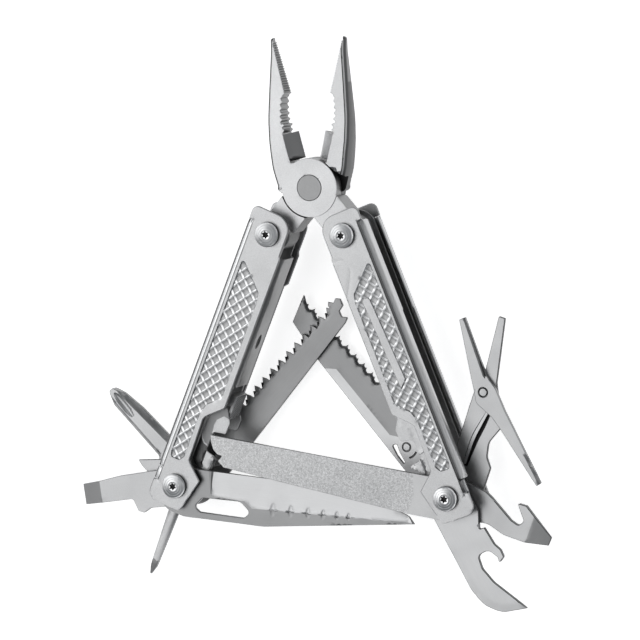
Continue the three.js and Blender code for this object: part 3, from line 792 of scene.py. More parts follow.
LOCK_SHAPE = [
    (0.95, -63.6, 0.6), (6.4, -60.0, 0.6), (9.2, -64.6, 0.8), (9.0, -68.6, 0.8), (4.8, -69.6, 1),
    (4.6, -76.4, 1), (9.2, -77.4, 0.8), (8.6, -81.6, 1), (5.6, -84.0, 0.8), (0.95, -81.4, 0.8),
]
LINER_CURVE = [(1.45, -64.2), (1.15, -68.0), (1.2, -70.8), (1.9, -73.1), (3.1, -74.3), (6.8, -75.3),
               (8.0, -76.6)]
ROOM = LINER_CURVE + [(9.6, -78), (9, -86), (-1, -86), (-1, -64.6)]  # what is seen sunk below the leaf
UPPER_TAB = [(4.1, -67.4), (4.5, -65.3), (6.4, -63.2), (9.4, -63.4), (9.4, -70.2), (4.6, -70.2)]
LOWER_TAB = [(4.9, -75.9), (7.3, -76.3), (8.2, -78.4), (7.8, -82.1), (6.0, -83.3), (4.9, -81.9)]


def lock_leaf(flip):
    """A lock leaf in front of its liner: the liner edge line and the two release tabs painted bright as
    highlight, and the room between them sunk and painted dark as shade."""
    def on_tab(at):
        return inside(at, UPPER_TAB) | inside(at, LOWER_TAB)

    def in_room(at):
        return inside(at, ROOM) & ~inside(at, LOWER_TAB)

    def top(x, y):
        at = points_of(x, y)
        height = np.where(in_room(at), LINER[0] + 0.2, LINER[1] - 0.12)
        return np.where(on_tab(at) | (distance(at, LINER_CURVE) < 0.24), LINER[1], height)

    # Slot 2 paints the liner edge line and the tabs bright as highlight and slot 3 the sunk room dark as
    # shade; the rest of the face takes slot 0, a darker steel on the shaded leaves.
    def paint(x, y, is_top):
        at = points_of(x, y)
        return np.select([on_tab(at) | (distance(at, LINER_CURVE) < 0.22), in_room(at)], [2, 3], 0)

    guides = beside(LINER_CURVE, 0.22, -0.22, -0.3) + [closed_line(UPPER_TAB), closed_line(LOWER_TAB)]
    return sided(relief([rounded(LOCK_SHAPE)], *LINER, creases=guides, top=top, step=1.2, rim=0.14,
                        paint=paint), flip)


SLIDER_TOP, SLIDER_END, SLIDER_HALF = -55.35, -63.85, 4.0
SLIDER_IN, SLIDER_OUT = 7.15, 8.2
RIB_PITCH, RIB_HEIGHT, RIB_FOOT = 1.15, 0.45, 7.7
RIB_SLANT = math.tan(math.radians(24))


def ribbed_slider():
    """The thumb slider, drawn as it is seen from the inner side: x across the handle, y along it."""
    def ribbed(x, y):
        return (y < SLIDER_TOP - 0.3) & (y > SLIDER_END + 0.5) & (np.abs(x) < SLIDER_HALF - 0.3)

    def face(x, y):
        ribs = np.abs(((y - RIB_SLANT * x - SLIDER_TOP) / RIB_PITCH) % 1 - 0.5) * 2
        return np.where(ribbed(x, y), RIB_FOOT + RIB_HEIGHT * ramp(ribs, 0.34, 0.5), SLIDER_OUT - 0.05)

    # The rib valleys are painted near black as shade.
    def paint(x, y, is_top):
        return np.where(ribbed(x, y) & (face(x, y) < RIB_FOOT + 0.2) & is_top, 2, 0)

    cap = relief([rectangle(-SLIDER_HALF, SLIDER_END, SLIDER_HALF, SLIDER_TOP)], SLIDER_IN, SLIDER_OUT,
                 top=face, step=0.16, paint=paint)
    stem = relief([rectangle(-4, -59.4, 4, -55.4)], 5.5, 7.4, rim=0.1)
    turn = np.array([1, 1, -1])
    return [(body[:, ::-1] * turn, polygons, slots) for body, polygons, slots in (cap, stem)]


def add_channels():
    for side, matrix, flip in HANDLES:
        body = side + "_handle"
        piece(side + "_folded_channel", [channel(flip)], [LINER_STEEL, CUT_EDGE_SHADE], matrix, body,
              side + "_channel")
        leaf = lock_leaf(flip)
        # The left leaves and both rear ones take shaded steels, painted shade on the face and in the room;
        # the right front leaf takes plate steel throughout, painted light.
        shaded = [TEETH_AND_SHADE, CUT_EDGE_SHADE, PLATE, EDGE_SHADE]
        lit = [PLATE, CUT_EDGE_SHADE, PLATE, PLATE] if flip else shaded
        for facing, part, materials in (("front", leaf, lit), ("rear", mirrored(leaf, 2), shaded)):
            piece(f"{side}_{facing}_lock", [part], materials, matrix, body,
                  f"{side}_{facing}_lock_leaf")
        piece(side + "_thumb_slider", [sided(part, flip) for part in ribbed_slider()],
              [TOOL, CUT_EDGE_SHADE, RECESS_SHADE], matrix, side + "_slider", side + "_slider")


# ------------------------ pivots: posts, screws, spacers

STAR_R, STAR_LOBE = 1.05, 0.2
SCREW_RINGS = (4.0, 3.7, 3.05, 2.97, 2.3, 2.2, 1.6, 1.45)
SCREW_DROPS = [(0, 0.12), (1.3, 0.12), (1.6, 0.0), (2.2, 0.16), (2.3, 0.06), (2.97, 0.26), (3.05, 0.16),
               (3.7, 0.36), (4.0, 0.7), (4.1, 1.0)]  # (radius, drop below the crown)
RECESS_DEPTH = 0.85
SHAFT_R, POST_R, POST_BORE_R = 1.2, 2.45, 1.35


def star(scale=1.0, count=72):
    angles = np.arange(count) * 2 * math.pi / count
    radii = scale * (STAR_R + STAR_LOBE * np.cos(6 * angles))
    return np.stack([radii * np.cos(angles), radii * np.sin(angles)], axis=1)


def screw_head():
    """A coned head with a domed crown, a turned ring and a star recess."""
    mouth, floor = star(), star(0.86)

    def crown(x, y):
        drop = np.interp(np.hypot(x, y), *zip(*SCREW_DROPS))
        return HEAD_OUT - np.where(inside(points_of(x, y), floor * 1.01), RECESS_DEPTH, drop)

    # The star recess is painted near black as shade.
    def paint(x, y, is_top):
        return np.where(inside(points_of(x, y), mouth) & is_top, 2, 0)

    guides = ring_guides(*SCREW_RINGS) + [closed_line(mouth), closed_line(floor)]
    return relief([circle(HEAD_R, count=96)], PLATE_OUT, HEAD_OUT, creases=guides, top=crown, paint=paint,
                  step=0.7, rim=0.04)


def spacer_ring(low, high):
    return relief([circle(TANG_R)], low, high, holes=[circle(BORE_R)], rim=0.1)


def add_pivots():
    shaft = turned([(0, 4.0), (SHAFT_R, 4.0), (SHAFT_R, PLATE_OUT + 0.02), (0, PLATE_OUT + 0.02)], 24)
    post = turned([
        (0, -HEAD_OUT), (1.3, -HEAD_OUT), (1.4, 0.1 - HEAD_OUT), (3.5, 0.1 - HEAD_OUT), (3.6, -HEAD_OUT),
        (3.85, -HEAD_OUT), (HEAD_R, 0.25 - HEAD_OUT), (HEAD_R, -PLATE_OUT), (POST_R, -PLATE_OUT),
        (POST_R, PLATE_OUT - 0.05), (POST_BORE_R, PLATE_OUT - 0.05), (POST_BORE_R, 3.0), (0, 3.0),
    ])
    head = screw_head()
    for side, matrix, _ in HANDLES:
        body = side + "_handle"
        for end, y in (("top", 0.0), ("bottom", -SPAN)):
            name = f"{side}_{end}"
            piece(name + "_pivot_screw", [moved(head, y=y), moved(shaft, y=y)], [SCREW, EDGE_SHADE, RECESS_SHADE],
                  matrix, body, name + "_screw")
            piece(name + "_pivot_post", [moved(post, y=y)], [SCREW], matrix, body,
                  name + "_post")
            for facing in ("front", "rear"):
                node = f"{name}_{facing}_spacer"
                low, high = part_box(node)
                ring = spacer_ring((low.z - MIDDLE) / MM, (high.z - MIDDLE) / MM)
                piece(node + "_ring", [moved(ring, y=y)], [TOOL, TIP], matrix, body, node)


# ------------------------ pliers

JAW_LENGTH = 50.2  # from the rivet
LAP_R, LAP_SLOT = 9.6, 9.9  # a half's lap disc, and the room for it in the other half
RIVET_R = 4.15
TANG_REACH = 19.9  # from the rivet to the handle's post
GRIP_TEETH, GRIP_PITCH = 6, 1.85
FINE_TEETH, FINE_PITCH = 22, 0.8
DISC_STEP = 0.35  # the tang lies this much below the disc
CHAMFER_WIDTH, CHAMFER_DEPTH = 1.1, 1.0
LINE_END, BRINK = 1.42, 0.7  # distances from the jaw's outer edge
LAP_GAP = 0.06
JAW_FACE, JAW_SLOPE, JAW_WALL, JAW_TEETH, JAW_DARK = range(5)  # the materials of a jaw, in order; the slope, wall and dark slots are painted shade
SHOULDER_LINE = np.array([(-1.4, 9.4), (-7.9, 7.1), (-13.0, 5.6)])


def jaw_inner_edge():
    """The gripping side: the cutter's shoulder, the pipe grip's rounded teeth, then the fine teeth."""
    points = [(0.0, 8.4), (-4.2, 9.4), (-4.4, 19.4), (-3.4, 20.2)]
    for k in range(GRIP_TEETH):
        reach = 20.4 + k * GRIP_PITCH
        depth = -3.2 - 0.5 * math.sin(math.pi * (k + 0.5) / GRIP_TEETH) + 0.44 * max(0, k - 1)
        points += [(depth - 0.55, reach + 0.25), (depth - 0.62, reach + 0.8), (depth + 0.1, reach + 1.2),
                   (depth + 0.25, reach + 1.6)]
    for k in range(FINE_TEETH):
        reach = 31.8 + k * FINE_PITCH
        points += [(-0.12, reach), (-0.6, reach + 0.3 * FINE_PITCH), (-0.6, reach + 0.62 * FINE_PITCH)]
    return points + [(-0.15, JAW_LENGTH - 0.05)]


def plier_half(side, tang_degrees):
    """Jaw, lap disc and tang as one body. It is drawn with its jaw at -X; side -1 mirrors it."""
    outer = rounded([(-0.4, JAW_LENGTH), (-1.3, JAW_LENGTH - 0.2, 0.8), (-2.2, 46, 10), (-5.6, 35, 30),
                     (-8.6, 25, 30), (-10.0, 18, 20), (-11.1, 9, 14), (-10.8, 1.2, 1.5), (0, -4)])
    direction = math.radians(tang_degrees)
    along = np.array([math.cos(direction), math.sin(direction)])
    across = np.array([-along[1], along[0]])
    tang_at = along * TANG_REACH
    tang = [tuple(along * r + across * w) for r, w in ((0, 5.4), (0, -5.4), (15, -5.4), (15, 5.4))]
    spine = np.array(outer[:-2])
    chamfer = offset(spine, CHAMFER_WIDTH, closed=False)
    shoulder = np.vstack([SHOULDER_LINE, [(-13, -3), (0, -3)]])

    def face(x, y):
        thickness = np.interp(y, [14, JAW_LENGTH + 1], [PLIER_HALF, 1.5])
        return thickness - CHAMFER_DEPTH * near(x, y, spine, CHAMFER_WIDTH) * (y > 2.5)

    def lapped(x, y):
        """1 on the full thickness, 0 where the other half laps over this one."""
        at = points_of(x, y)
        return np.minimum(ramp(np.hypot(x, y), LAP_SLOT, LAP_SLOT + LAP_GAP),
                          np.where(inside(at, shoulder), 0, ramp(distance(at, shoulder, True), 0, LAP_GAP)))

    def own_face(x, y):
        on_tang = (np.hypot(x, y) > LAP_R) & (y < 2)
        return face(x, y) - DISC_STEP * ramp(np.hypot(x, y), LAP_R, LAP_R + 0.05) * on_tang

    def other_face(x, y):
        return lapped(x, y) * (face(x, y) + LAP_GAP) - LAP_GAP

    front, behind = (own_face, other_face) if side > 0 else (other_face, own_face)

    # The lapped area is painted near black as shade. Along the spine the front half paints a near-black
    # brink; the rear half paints a near-black line inside its chamfer, the chamfer's slope a little darker
    # and its brink darker still, as shade.
    def paint(x, y, is_top):
        to_spine = distance(points_of(x, y), spine)
        overlap = (lapped(x, y) < 0.5) & (np.hypot(x, y) > LAP_R - 1) & (y > 0) & (is_top == (side < 0))
        slope, brink = near(x, y, spine, CHAMFER_WIDTH - 0.02) > 0.02, to_spine < BRINK
        if side > 0:
            return np.select([overlap, y < 2.5, brink], [JAW_DARK, JAW_FACE, JAW_DARK], JAW_FACE)
        line = (to_spine < LINE_END) & ~slope
        return np.select([overlap, y < 2.5, line, brink, slope],
                         [JAW_DARK, JAW_FACE, JAW_DARK, JAW_WALL, JAW_SLOPE], JAW_FACE)

    guides = [chamfer, offset(chamfer, 0.34, closed=False), offset(spine, BRINK, closed=False)]
    guides += ring_guides(LAP_R, LAP_R + 0.05, LAP_SLOT, LAP_SLOT + LAP_GAP)
    guides += [closed_line(anticlockwise(shoulder)), SHOULDER_LINE + np.array([0.02, 0.06])]
    part = relief([outer + jaw_inner_edge(), circle(LAP_R, count=96), tang, circle(6.1, *tang_at)],
                  -PLIER_HALF, PLIER_HALF, holes=[circle(RIVET_R + 0.08), circle(BORE_R, *tang_at)],
                  creases=guides, top=front, bottom=lambda x, y: -behind(x, y), step=1.3, paint=paint,
                  wall=lambda x, y: np.where((y > 19) & (x > -5.2), JAW_TEETH, JAW_WALL))
    return sided(part, side < 0)


def cutter(side):
    """A wire cutter insert: a hardened block ground to an edge on the middle plane."""
    low, high, depth, back_half = 10.0, 18.9, 4.35, 4.0
    edge_at, bevel_at = -0.15, -0.5

    def wedge(x, y):
        ends = 0.9 * (1 - ramp(y, low, low + 0.8))
        return np.interp(x, [-depth, bevel_at, edge_at], [back_half, 0.5, 0.12]) * (1 - 0.4 * ends)

    creases = [[(bevel_at, low), (bevel_at, high)], [(-depth, low + 0.8), (edge_at, low + 0.8)]]
    return sided(relief([rectangle(-depth, low, edge_at, high)], -back_half, back_half, creases=creases,
                        top=wedge, bottom=lambda x, y: -wedge(x, y), step=1.5, rim=0.06), side < 0)


def turn_of(point, origin):
    return math.degrees(math.atan2(point.y - origin.y, point.x - origin.x))


def add_pliers():
    front_open, rear_open = 16.0, -11.6
    left_tang = turn_of(centre("left_top_post"), PIVOT)
    right_tang = turn_of(centre("right_top_post"), PIVOT)
    # The front half's walls take the jaw side steel and the rear half's the darker edge steel, both painted
    # shade; the front cutter takes the teeth steel and the rear cutter the rolled edge's bright steel.
    halves = (("front", 1, front_open, right_tang - front_open, JAW_SIDE_SHADE, [TEETH_AND_SHADE, TIP]),
              ("rear", -1, rear_open, 180 - (left_tang - rear_open), EDGE_SHADE, [ROLLED_HIGHLIGHT, EDGE_SHADE]))
    for facing, side, opening, tang, flank, _ in halves:
        piece(facing + "_plier_jaw", [plier_half(side, tang)], [JAW, TOOL, flank, TEETH_AND_SHADE, RECESS_SHADE],
              place(PIVOT, opening), "pliers_" + facing, "jaw_" + facing)
    for facing, side, opening, _, _, steels in halves:
        piece(facing + "_wire_cutter", [cutter(side)], steels, place(PIVOT, opening), "pliers_" + facing,
              "wire_cutter_" + facing)

    def rivet_face(x, y):
        rings = np.cos(np.hypot(x, y) * 2 * math.pi / 1.1)
        return PLIER_HALF + 0.03 - 0.02 * rings

    rivet = relief([circle(RIVET_R)], -PLIER_HALF, PLIER_HALF, top=rivet_face,
                   bottom=lambda x, y: -rivet_face(x, y), step=0.5, rim=0.08)
    piece("plier_pivot_rivet", [rivet], [RIVET, TIP], place(PIVOT, front_open), "pliers_front",
          "plier_rivet")


# ------------------------ folding tools

def add_tool(name, node, at, degrees, layer, corners, materials, *, slot="tool_steel", extra=(), holes=(),
             bore=True, body=None, rim=0.2, drop=None, ground=None, **shape):
    """One tool on its post. drop lowers both faces, unless bottom is given for the rear one, and ground says
    where they take the third material, which on the saw is painted shade. Each tool's chamfers take its
    second material, a thin dark outline of painted shade."""
    low, high = layer
    openings = ([circle(BORE_R)] if bore else []) + list(holes)
    if drop:
        shape = {"top": lambda x, y: high - drop(x, y), "bottom": lambda x, y: low + drop(x, y), **shape}
    if ground:
        shape["paint"] = lambda x, y, is_top: np.where(ground(x, y), 2, 0)
    # edged paints a thin dark outline of painted shade along every border.
    part = relief([corners], low, high, holes=openings, rim=rim, edged=True, **shape)
    piece(name, [part, *extra], materials, place(at, degrees), body or node, node)


def ground_bevel(points, outline, line, edge, step, fall):
    """The depth of a ground bevel: a short step down at its line, then a slope that falls to its edge."""
    within = inside(points, outline)
    to_line, to_edge = distance(points, line), distance(points, edge)
    share = to_line / (to_line + to_edge + 1e-6)
    return within * (step + fall * share) * ramp(within * to_line, 0, 0.25)


def bowl(x, y, middle, half, power):
    """1 in the middle of an oval, falling to 0 at its edge."""
    return np.clip(1 - ((x - middle[0]) / half[0]) ** 2 - ((y - middle[1]) / half[1]) ** 2, 0, 1) ** power


def behind_middle(layer):
    return -layer[1], -layer[0]


def add_knife():
    grind_line = [(11.6, 6.2), (12.1, -1.7), (24.2, -1.8), (27.1, -3.7), (69.6, -0.8), (83.2, 0.1)]
    edge_line = [(12, 6.4), (40, 7.3), (67, 6.4), (81.5, 2.6), (83.9, 0)]
    dimples = [((34.5, -3.0), (1.0, 2.3)), ((40.8, -2.5), (0.92, 2.1)), ((46.9, -2.1), (0.85, 1.9)),
               ((52.2, -1.7), (0.76, 1.7)), ((57.0, -1.4), (0.68, 1.5)), ((61.1, -1.1), (0.6, 1.25))]
    bevel = grind_line + edge_line[::-1][1:]
    plunge = [(12.1, -1.3), (12.3, 6.2), (10.7, 6.2)]
    thumb_slot = rounded([(9.2, -3.0, 1.6), (22.8, -2.2, 3.2), (26.6, -5.4, 1.8), (24.5, -7.4, 1.6),
                          (8.7, -7.9, 1.4), (6.5, -6.4, 1.2)])
    low, high = INNER_BLADE

    def drop(x, y):
        hollows = sum(bowl(x, y, middle, half, 0.7) for middle, half in dimples)
        return ground_bevel(points_of(x, y), bevel, grind_line, edge_line, 0.12, 0.42) + 0.17 * hollows

    def paint(x, y, is_top):
        at = points_of(x, y)
        return np.select([inside(at, plunge), inside(at, bevel)], [3, 2], 0)

    add_tool(
        "straight_knife", "knife", LEFT_BOTTOM, -5.5, INNER_BLADE,
        rounded([(83.9, 0), (31.7, -9.2, 6), (3.0, -10.3, 5), (-5.6, -8.4, 6), (-6.9, 6.2, 5.8), (12, 6.4, 2),
                 (40, 7.3, 60), (67, 6.4, 40), (81.5, 2.6, 3)]),
        [GRIND_FLAT, CUT_EDGE_SHADE, BLADE, TIP], slot="blade_steel", holes=[thumb_slot], drop=drop, paint=paint,
        bottom=lambda x, y: np.minimum(low + drop(x, y), high - drop(x, y) - 0.1),
        creases=beside(grind_line, 0.25, -0.25) + [closed_line(plunge)],
        patches=[(rectangle(x - 1.3, y - 2.7, x + 1.3, y + 2.7), 0.3) for (x, y), _ in dimples])


SAW_TEETH = 15
SAW_START, SAW_END = np.array((15.6, 5.6)), np.array((77.6, 3.6))
SAW_TOOTH = ((0.0, 2.5), (0.12, 2.5), (0.36, 0.9), (0.5, 1.4), (0.78, 0.0), (0.93, 1.2))


def saw_teeth():
    """Double-cut teeth: a gullet, a low tip, a small notch and a high tip."""
    step = (SAW_END - SAW_START) / SAW_TEETH
    down = np.array([step[1], -step[0]]) / np.linalg.norm(step)
    return [tuple(SAW_START + step * (k + share) + down * depth)
            for k in range(SAW_TEETH) for share, depth in SAW_TOOTH] + [tuple(SAW_END)]


def saw_low_tips():
    """A field around the low tip of each tooth, which is ground back and painted near black as shade."""
    pitch = (SAW_END[0] - SAW_START[0]) / SAW_TEETH
    for k in range(SAW_TEETH):
        reach = SAW_START[0] + pitch * k
        top = np.interp(reach, *zip(SAW_START, SAW_END))
        near_side, far_side = reach + 0.1 * pitch, reach + 0.5 * pitch
        yield [(far_side, top - 2.0), (far_side, top + 0.4), (near_side, top + 0.4), (near_side, top - 2.6)]




def add_saw():
    corners = rounded([
        (81.3, 3.3, 0.2), (82.3, 2.0, 0.3), (81.3, -0.2, 0.3), (79.0, -0.5, 0.6), (78.2, -2.4, 0.7),
        (79.6, -4.0, 0.4), (77.6, -4.6, 0.5), (25, -7.4, 20), (-6.8, -9.0, 6.4), (-6.8, 6.3, 5.8),
        (9, 6.0, 2), (14.2, 5.6)])
    edge, tooth_depth = [(13.0, 5.7), (81.6, 3.4)], 2.7
    low_tips = list(saw_low_tips())

    def on_low_tip(x, y):
        return np.any([inside(points_of(x, y), tip) for tip in low_tips], axis=0)

    def hollow(x, y):
        return 0.34 * near(x, y, edge, tooth_depth) * (x > 12) + 0.3 * on_low_tip(x, y)

    # The low tips are sunk and painted near black as shade.
    add_tool("wood_saw", "saw", LEFT_BOTTOM, 48.5, behind_middle(INNER_BLADE),
             corners + saw_teeth() + [(78.6, 4.4), (79.6, 2.8)], [SAW, EDGE_SHADE, RECESS_SHADE], slot="blade_steel",
             step=1.5, rim=0.1, drop=hollow, ground=on_low_tip,
             creases=[offset(edge, -tooth_depth, closed=False)] + [closed_line(tip) for tip in low_tips])


def add_flat_driver():
    outline = rounded([(35.9, -3.4, 0.2), (35.9, 3.6, 0.2), (29.6, 3.6, 1), (18.2, 3.4, 1), (16.8, 7.6, 0.4),
                       (14.7, 8.4, 0.6), (12.0, 7.0, 0.8), (3, 7.2, 3), (-6.6, 5.0, 4.5), (-6.6, -5.6, 5.2),
                       (8, -5.3, 4), (22, -4.8, 6), (29.6, -3.8, 1)])
    tip_from, tip_to = 29.5, 35.9
    add_tool("large_flat_driver", "flat_driver", LEFT_BOTTOM, 189, (2.6, 4.3), outline, [TOOL, CUT_EDGE_SHADE, TIP],
             creases=[[(tip_from, -3.7), (tip_from, 3.6)]], rim=0.15,
             drop=lambda x, y: 0.5 * ramp(x, tip_from, tip_to), ground=lambda x, y: x > tip_from)


def add_pick():
    outline = rounded([(17.7, 0.3, 0.2), (14.6, 2.0, 0.6), (11, 3.2, 2), (0, 6.4, 3), (-6.2, 4, 4),
                       (-6.2, -5, 4.5), (5, -6, 3), (11, -3.3, 1)])
    add_tool("small_pick", "pointed_pick", LEFT_BOTTOM, 156, (1.3, 2.4), outline, [TOOL, CUT_EDGE_SHADE], rim=0.25)


def add_large_cross_driver():
    outline = rounded([(40.1, -0.7, 0.2), (40.1, 0.7, 0.2), (35.6, 2.9, 1), (12, 1.6, 3), (4, 6.6, 3),
                       (-6.4, 6.2, 5.6), (-6.4, -6.4, 5.6), (16, -5.8, 6), (28.3, -4.6, 4), (36.3, -2.9, 1)])
    left_ridge, right_ridge = [(12.5, 0.1), (35.4, 1.4)], [(12.5, -4.2), (36.0, -1.5)]

    def beyond(x, y):
        """How far a point is outside the middle one of the three long facets."""
        return np.maximum(y - np.interp(x, *zip(*left_ridge)), np.interp(x, *zip(*right_ridge)) - y)

    def drop(x, y):
        flute = bowl(x, y, (33.2, -0.3), (5.2, 1.25), 0.6)
        return 0.95 * ramp(beyond(x, y), 0, 1.5) * ramp(x, 11.5, 13) + 0.9 * flute

    add_tool("large_cross_driver", "phillips_large", LEFT_BOTTOM, 132, (-2.2, 1.1), outline,
             [TOOL, TIP, GRIND], step=1.5, rim=0.12, drop=drop, patches=[(rectangle(27, -2, 39.4, 1.6), 0.3)],
             creases=[left_ridge, right_ridge, [(12.5, -5), (12.5, 3)]],
             ground=lambda x, y: (beyond(x, y) > 0) & (x > 12.5))


def add_small_cross_driver():
    outline = rounded([(35.4, -0.3, 0.1), (35.4, 0.3, 0.1), (32.4, 1.1, 0.5), (12, 1.1, 3), (2, 6.4, 3),
                       (-6.4, 5, 5), (-6.4, -5, 5), (2, -6.4, 3), (12, -2.9, 3), (32.4, -1.1, 0.5)])
    half = 2.0

    def drop(x, y):
        middle = np.interp(x, [12, 32.4], [-0.9, 0])
        across = np.clip(np.abs(y - middle) / half, 0, 1)
        point = 0.55 * ramp(x, 31, 35.4)
        return (0.8 * (1 - np.sqrt(1 - across ** 2 * 0.98)) + point) * ramp(x, 7, 12)

    add_tool("small_cross_driver", "phillips_small", LEFT_BOTTOM, 246.2, (-4.2, -2.4), outline,
             [TOOL, CUT_EDGE_SHADE, TIP], step=0.8, rim=0.1, drop=drop, ground=lambda x, y: x > 30.2)


def add_file():
    corners = rounded([
        (84.4, -3.6, 0.3), (83.8, -1.2, 0.4), (82.6, 1.1, 0.4), (80.9, 2.4, 0.5), (79.1, 2.5, 0.3),
        (80.6, 4.5, 0.5), (78.2, 6.2, 0.6), (12, 7.9, 6), (-6.9, 7.4, 6.4), (-6.9, -6.2, 6), (8, -5.7, 4)])
    limit = [(12.4, 7.8), (11.4, 1.0), (12.6, -5.5)]
    limit_x, limit_y = zip(*limit[::-1])
    add_tool("diamond_file", "file", RIGHT_BOTTOM, 171.5, OUTER_BLADE, corners, [TOOL, CUT_EDGE_SHADE, GRIT],
             slot="file_steel", creases=beside(limit, 0.2), rim=0.1,
             ground=lambda x, y: x > np.interp(y, limit_y, limit_x))


SERRATION = [(0, -4.95), (0.4, -3.9), (1.2, -3.2), (2.1, -3.4), (2.6, -4.3), (3.0, -3.9), (3.6, -4.1)]
SERRATIONS, SERRATION_PITCH, SERRATED_FROM = 9, 4.1, 44.5


def add_serrated_knife():
    low, high = layer = behind_middle(OUTER_BLADE)
    grind_line = [(17.0, -4.9), (19.5, -1.5), (25.5, 2.2), (30, 5.4), (58, 3.7), (62, 7.4), (80.2, 4.6),
                  (84, -5)]
    edge = [(20, -5.0), (83.2, -5.2)]
    bevel = grind_line + [(82, -5.6), (20, -5.6)]
    scallops = [(SERRATED_FROM + k * SERRATION_PITCH + dx, y)
                for k in range(SERRATIONS) for dx, y in SERRATION]
    corners = [(82.6, -5.15), (83.2, -5.2)] + rounded([
        (79.6, 4.0), (64.8, 6.4, 4), (17.6, 9.9, 5), (-5.6, 8.2, 6), (-6.9, -6.4, 6.2), (10, -5.2, 4),
        (20, -5.0)]) + scallops
    dark_rim = [(SERRATED_FROM, -5.0)] + scallops
    pin, pin_r, ring_r, ring_half = (23.2, 3.9), 1.15, 1.4, 0.21
    nail_slot = rounded([(27.0, 7.2, 0.5), (26.2, 5.8, 0.5), (23.6, 7.0, 0.5), (20.1, 7.9, 0.2),
                         (20.1, 8.5, 0.2), (23.4, 8.2, 0.5)])
    groove = anticlockwise(np.array(arc(pin, 4.0, 150, 203) + arc(pin, 3.3, 203, 150)))

    def from_ring(x, y):
        return np.abs(np.hypot(x - pin[0], y - pin[1]) - ring_r)

    def drop(x, y):
        at = points_of(x, y)
        bite = 0.4 * (1 - ramp(distance(at, dark_rim), 0.2, 1.1)) * (x > 44)
        in_groove = inside(at, groove) & (distance(at, groove, True) > 0.03)
        sunk = 0.5 * in_groove + 0.4 * (from_ring(x, y) < ring_half)
        return ground_bevel(at, bevel, grind_line, edge, 0.1, 0.3) + bite + sunk

    # Painted near black as shade: a band along the scallops, the curved groove and the ring around the pin.
    # The bevel takes the third steel.
    def paint(x, y, is_top):
        at = points_of(x, y)
        dark = (x > 44) & (distance(at, dark_rim) < 0.8) | inside(at, groove)
        dark |= from_ring(x, y) < ring_half + 0.01
        return np.select([dark & is_top, inside(at, bevel)], [1, 2], 0)

    pin_body = turned([(0, low + 0.1), (pin_r, low + 0.1), (pin_r, high - 0.02), (1.0, high + 0.06),
                       (0, high + 0.06)], 40)
    add_tool("serrated_blade", "serrated_knife", RIGHT_BOTTOM, 135.5, layer, corners, [BLADE, EDGE_SHADE, SAW],
             slot="blade_steel", holes=[nail_slot], step=1.6, drop=drop, paint=paint,
             bottom=lambda x, y: low + np.minimum(drop(x, y), 0.35), extra=[moved(pin_body, *pin)],
             creases=beside(grind_line, 0.25) + ring_guides(1.12, 1.2, 1.6, 1.68, x=pin[0], y=pin[1]) + [
                 closed_line(groove), closed_line(offset(groove, 0.07))],
             patches=[([(43.5, -4.6), (82, -4.8), (82, -2.0), (43.5, -2.0)], 0.32)])


def add_opener():
    outline = rounded([(35.3, 2.8, 0.3), (23.7, 8.5, 0.3), (20.8, 7.9, 0.3), (21.6, 6.9, 0.3), (25.0, 3.6, 1),
                       (24.0, 1.4, 1.2), (21.0, 1.8, 1.6), (12.0, 5.6, 2), (9.4, 6.4, 1), (-6.4, 6.0, 5.6),
                       (-6.4, -6.0, 5.6), (8, -5.6, 4), (14, -2.8, 6), (20.7, -3.7, 8), (28.1, -2.6, 3),
                       (35.4, -0.1, 0.3)])
    start = [(27.5, 6.4), (28.3, -2.6)]

    def wedge(x, y):
        return 1.1 * ramp(x - np.interp(y, [-2.6, 6.4], [28.3, 27.5]), 0, 7.5)

    add_tool("bottle_and_can_opener", "bottle_opener", RIGHT_BOTTOM, -24, (0.6, 2.5), outline,
             [TOOL, EDGE_SHADE, GRIND], creases=[start], step=1.4, drop=wedge, bottom=None,
             ground=lambda x, y: wedge(x, y) > 0.01)


def add_hook_blade():
    outer, bevel_width = [(15, -9.6), (29.3, -9.9), (35.8, -8.4), (40.6, -4.4), (43.4, 3.8)], 2.4
    outline = rounded([
        (43.4, 3.8, 0.1), (30.8, -1.8, 6), (25.2, -2.9, 3), (20.9, -2.0, 1.6), (21.0, 2.2, 2.4),
        (24.6, 3.7, 0.8), (26.5, 3.0, 0.5), (25.4, 5.6, 0.8), (22.8, 5.8, 1), (20.4, 4.9, 1),
        (14.1, 4.7, 0.4), (13.8, 2.9, 0.4), (8.6, 5.8, 1), (-6.4, 6.0, 5.4), (-6.6, -8.6, 6), (15, -9.4, 10),
        (29.3, -10.0, 8), (35.8, -8.6, 8), (40.6, -4.6, 8)])
    add_tool("hook_and_cutter", "hook_blade", RIGHT_BOTTOM, -58, (2.7, 4.3), outline, [BLADE, EDGE_SHADE],
             creases=[offset(outer, bevel_width, closed=False)], step=1.4,
             drop=lambda x, y: 0.16 * near(x, y, outer, bevel_width) * ramp(x, 14, 18))


SCISSORS_TURN = 81.5
SCISSORS_RIVET = (34.9, -4.4)
SCISSORS_BODY, SCISSORS_LEVER = (-2.4, -1.0), (-0.9, 0.5)


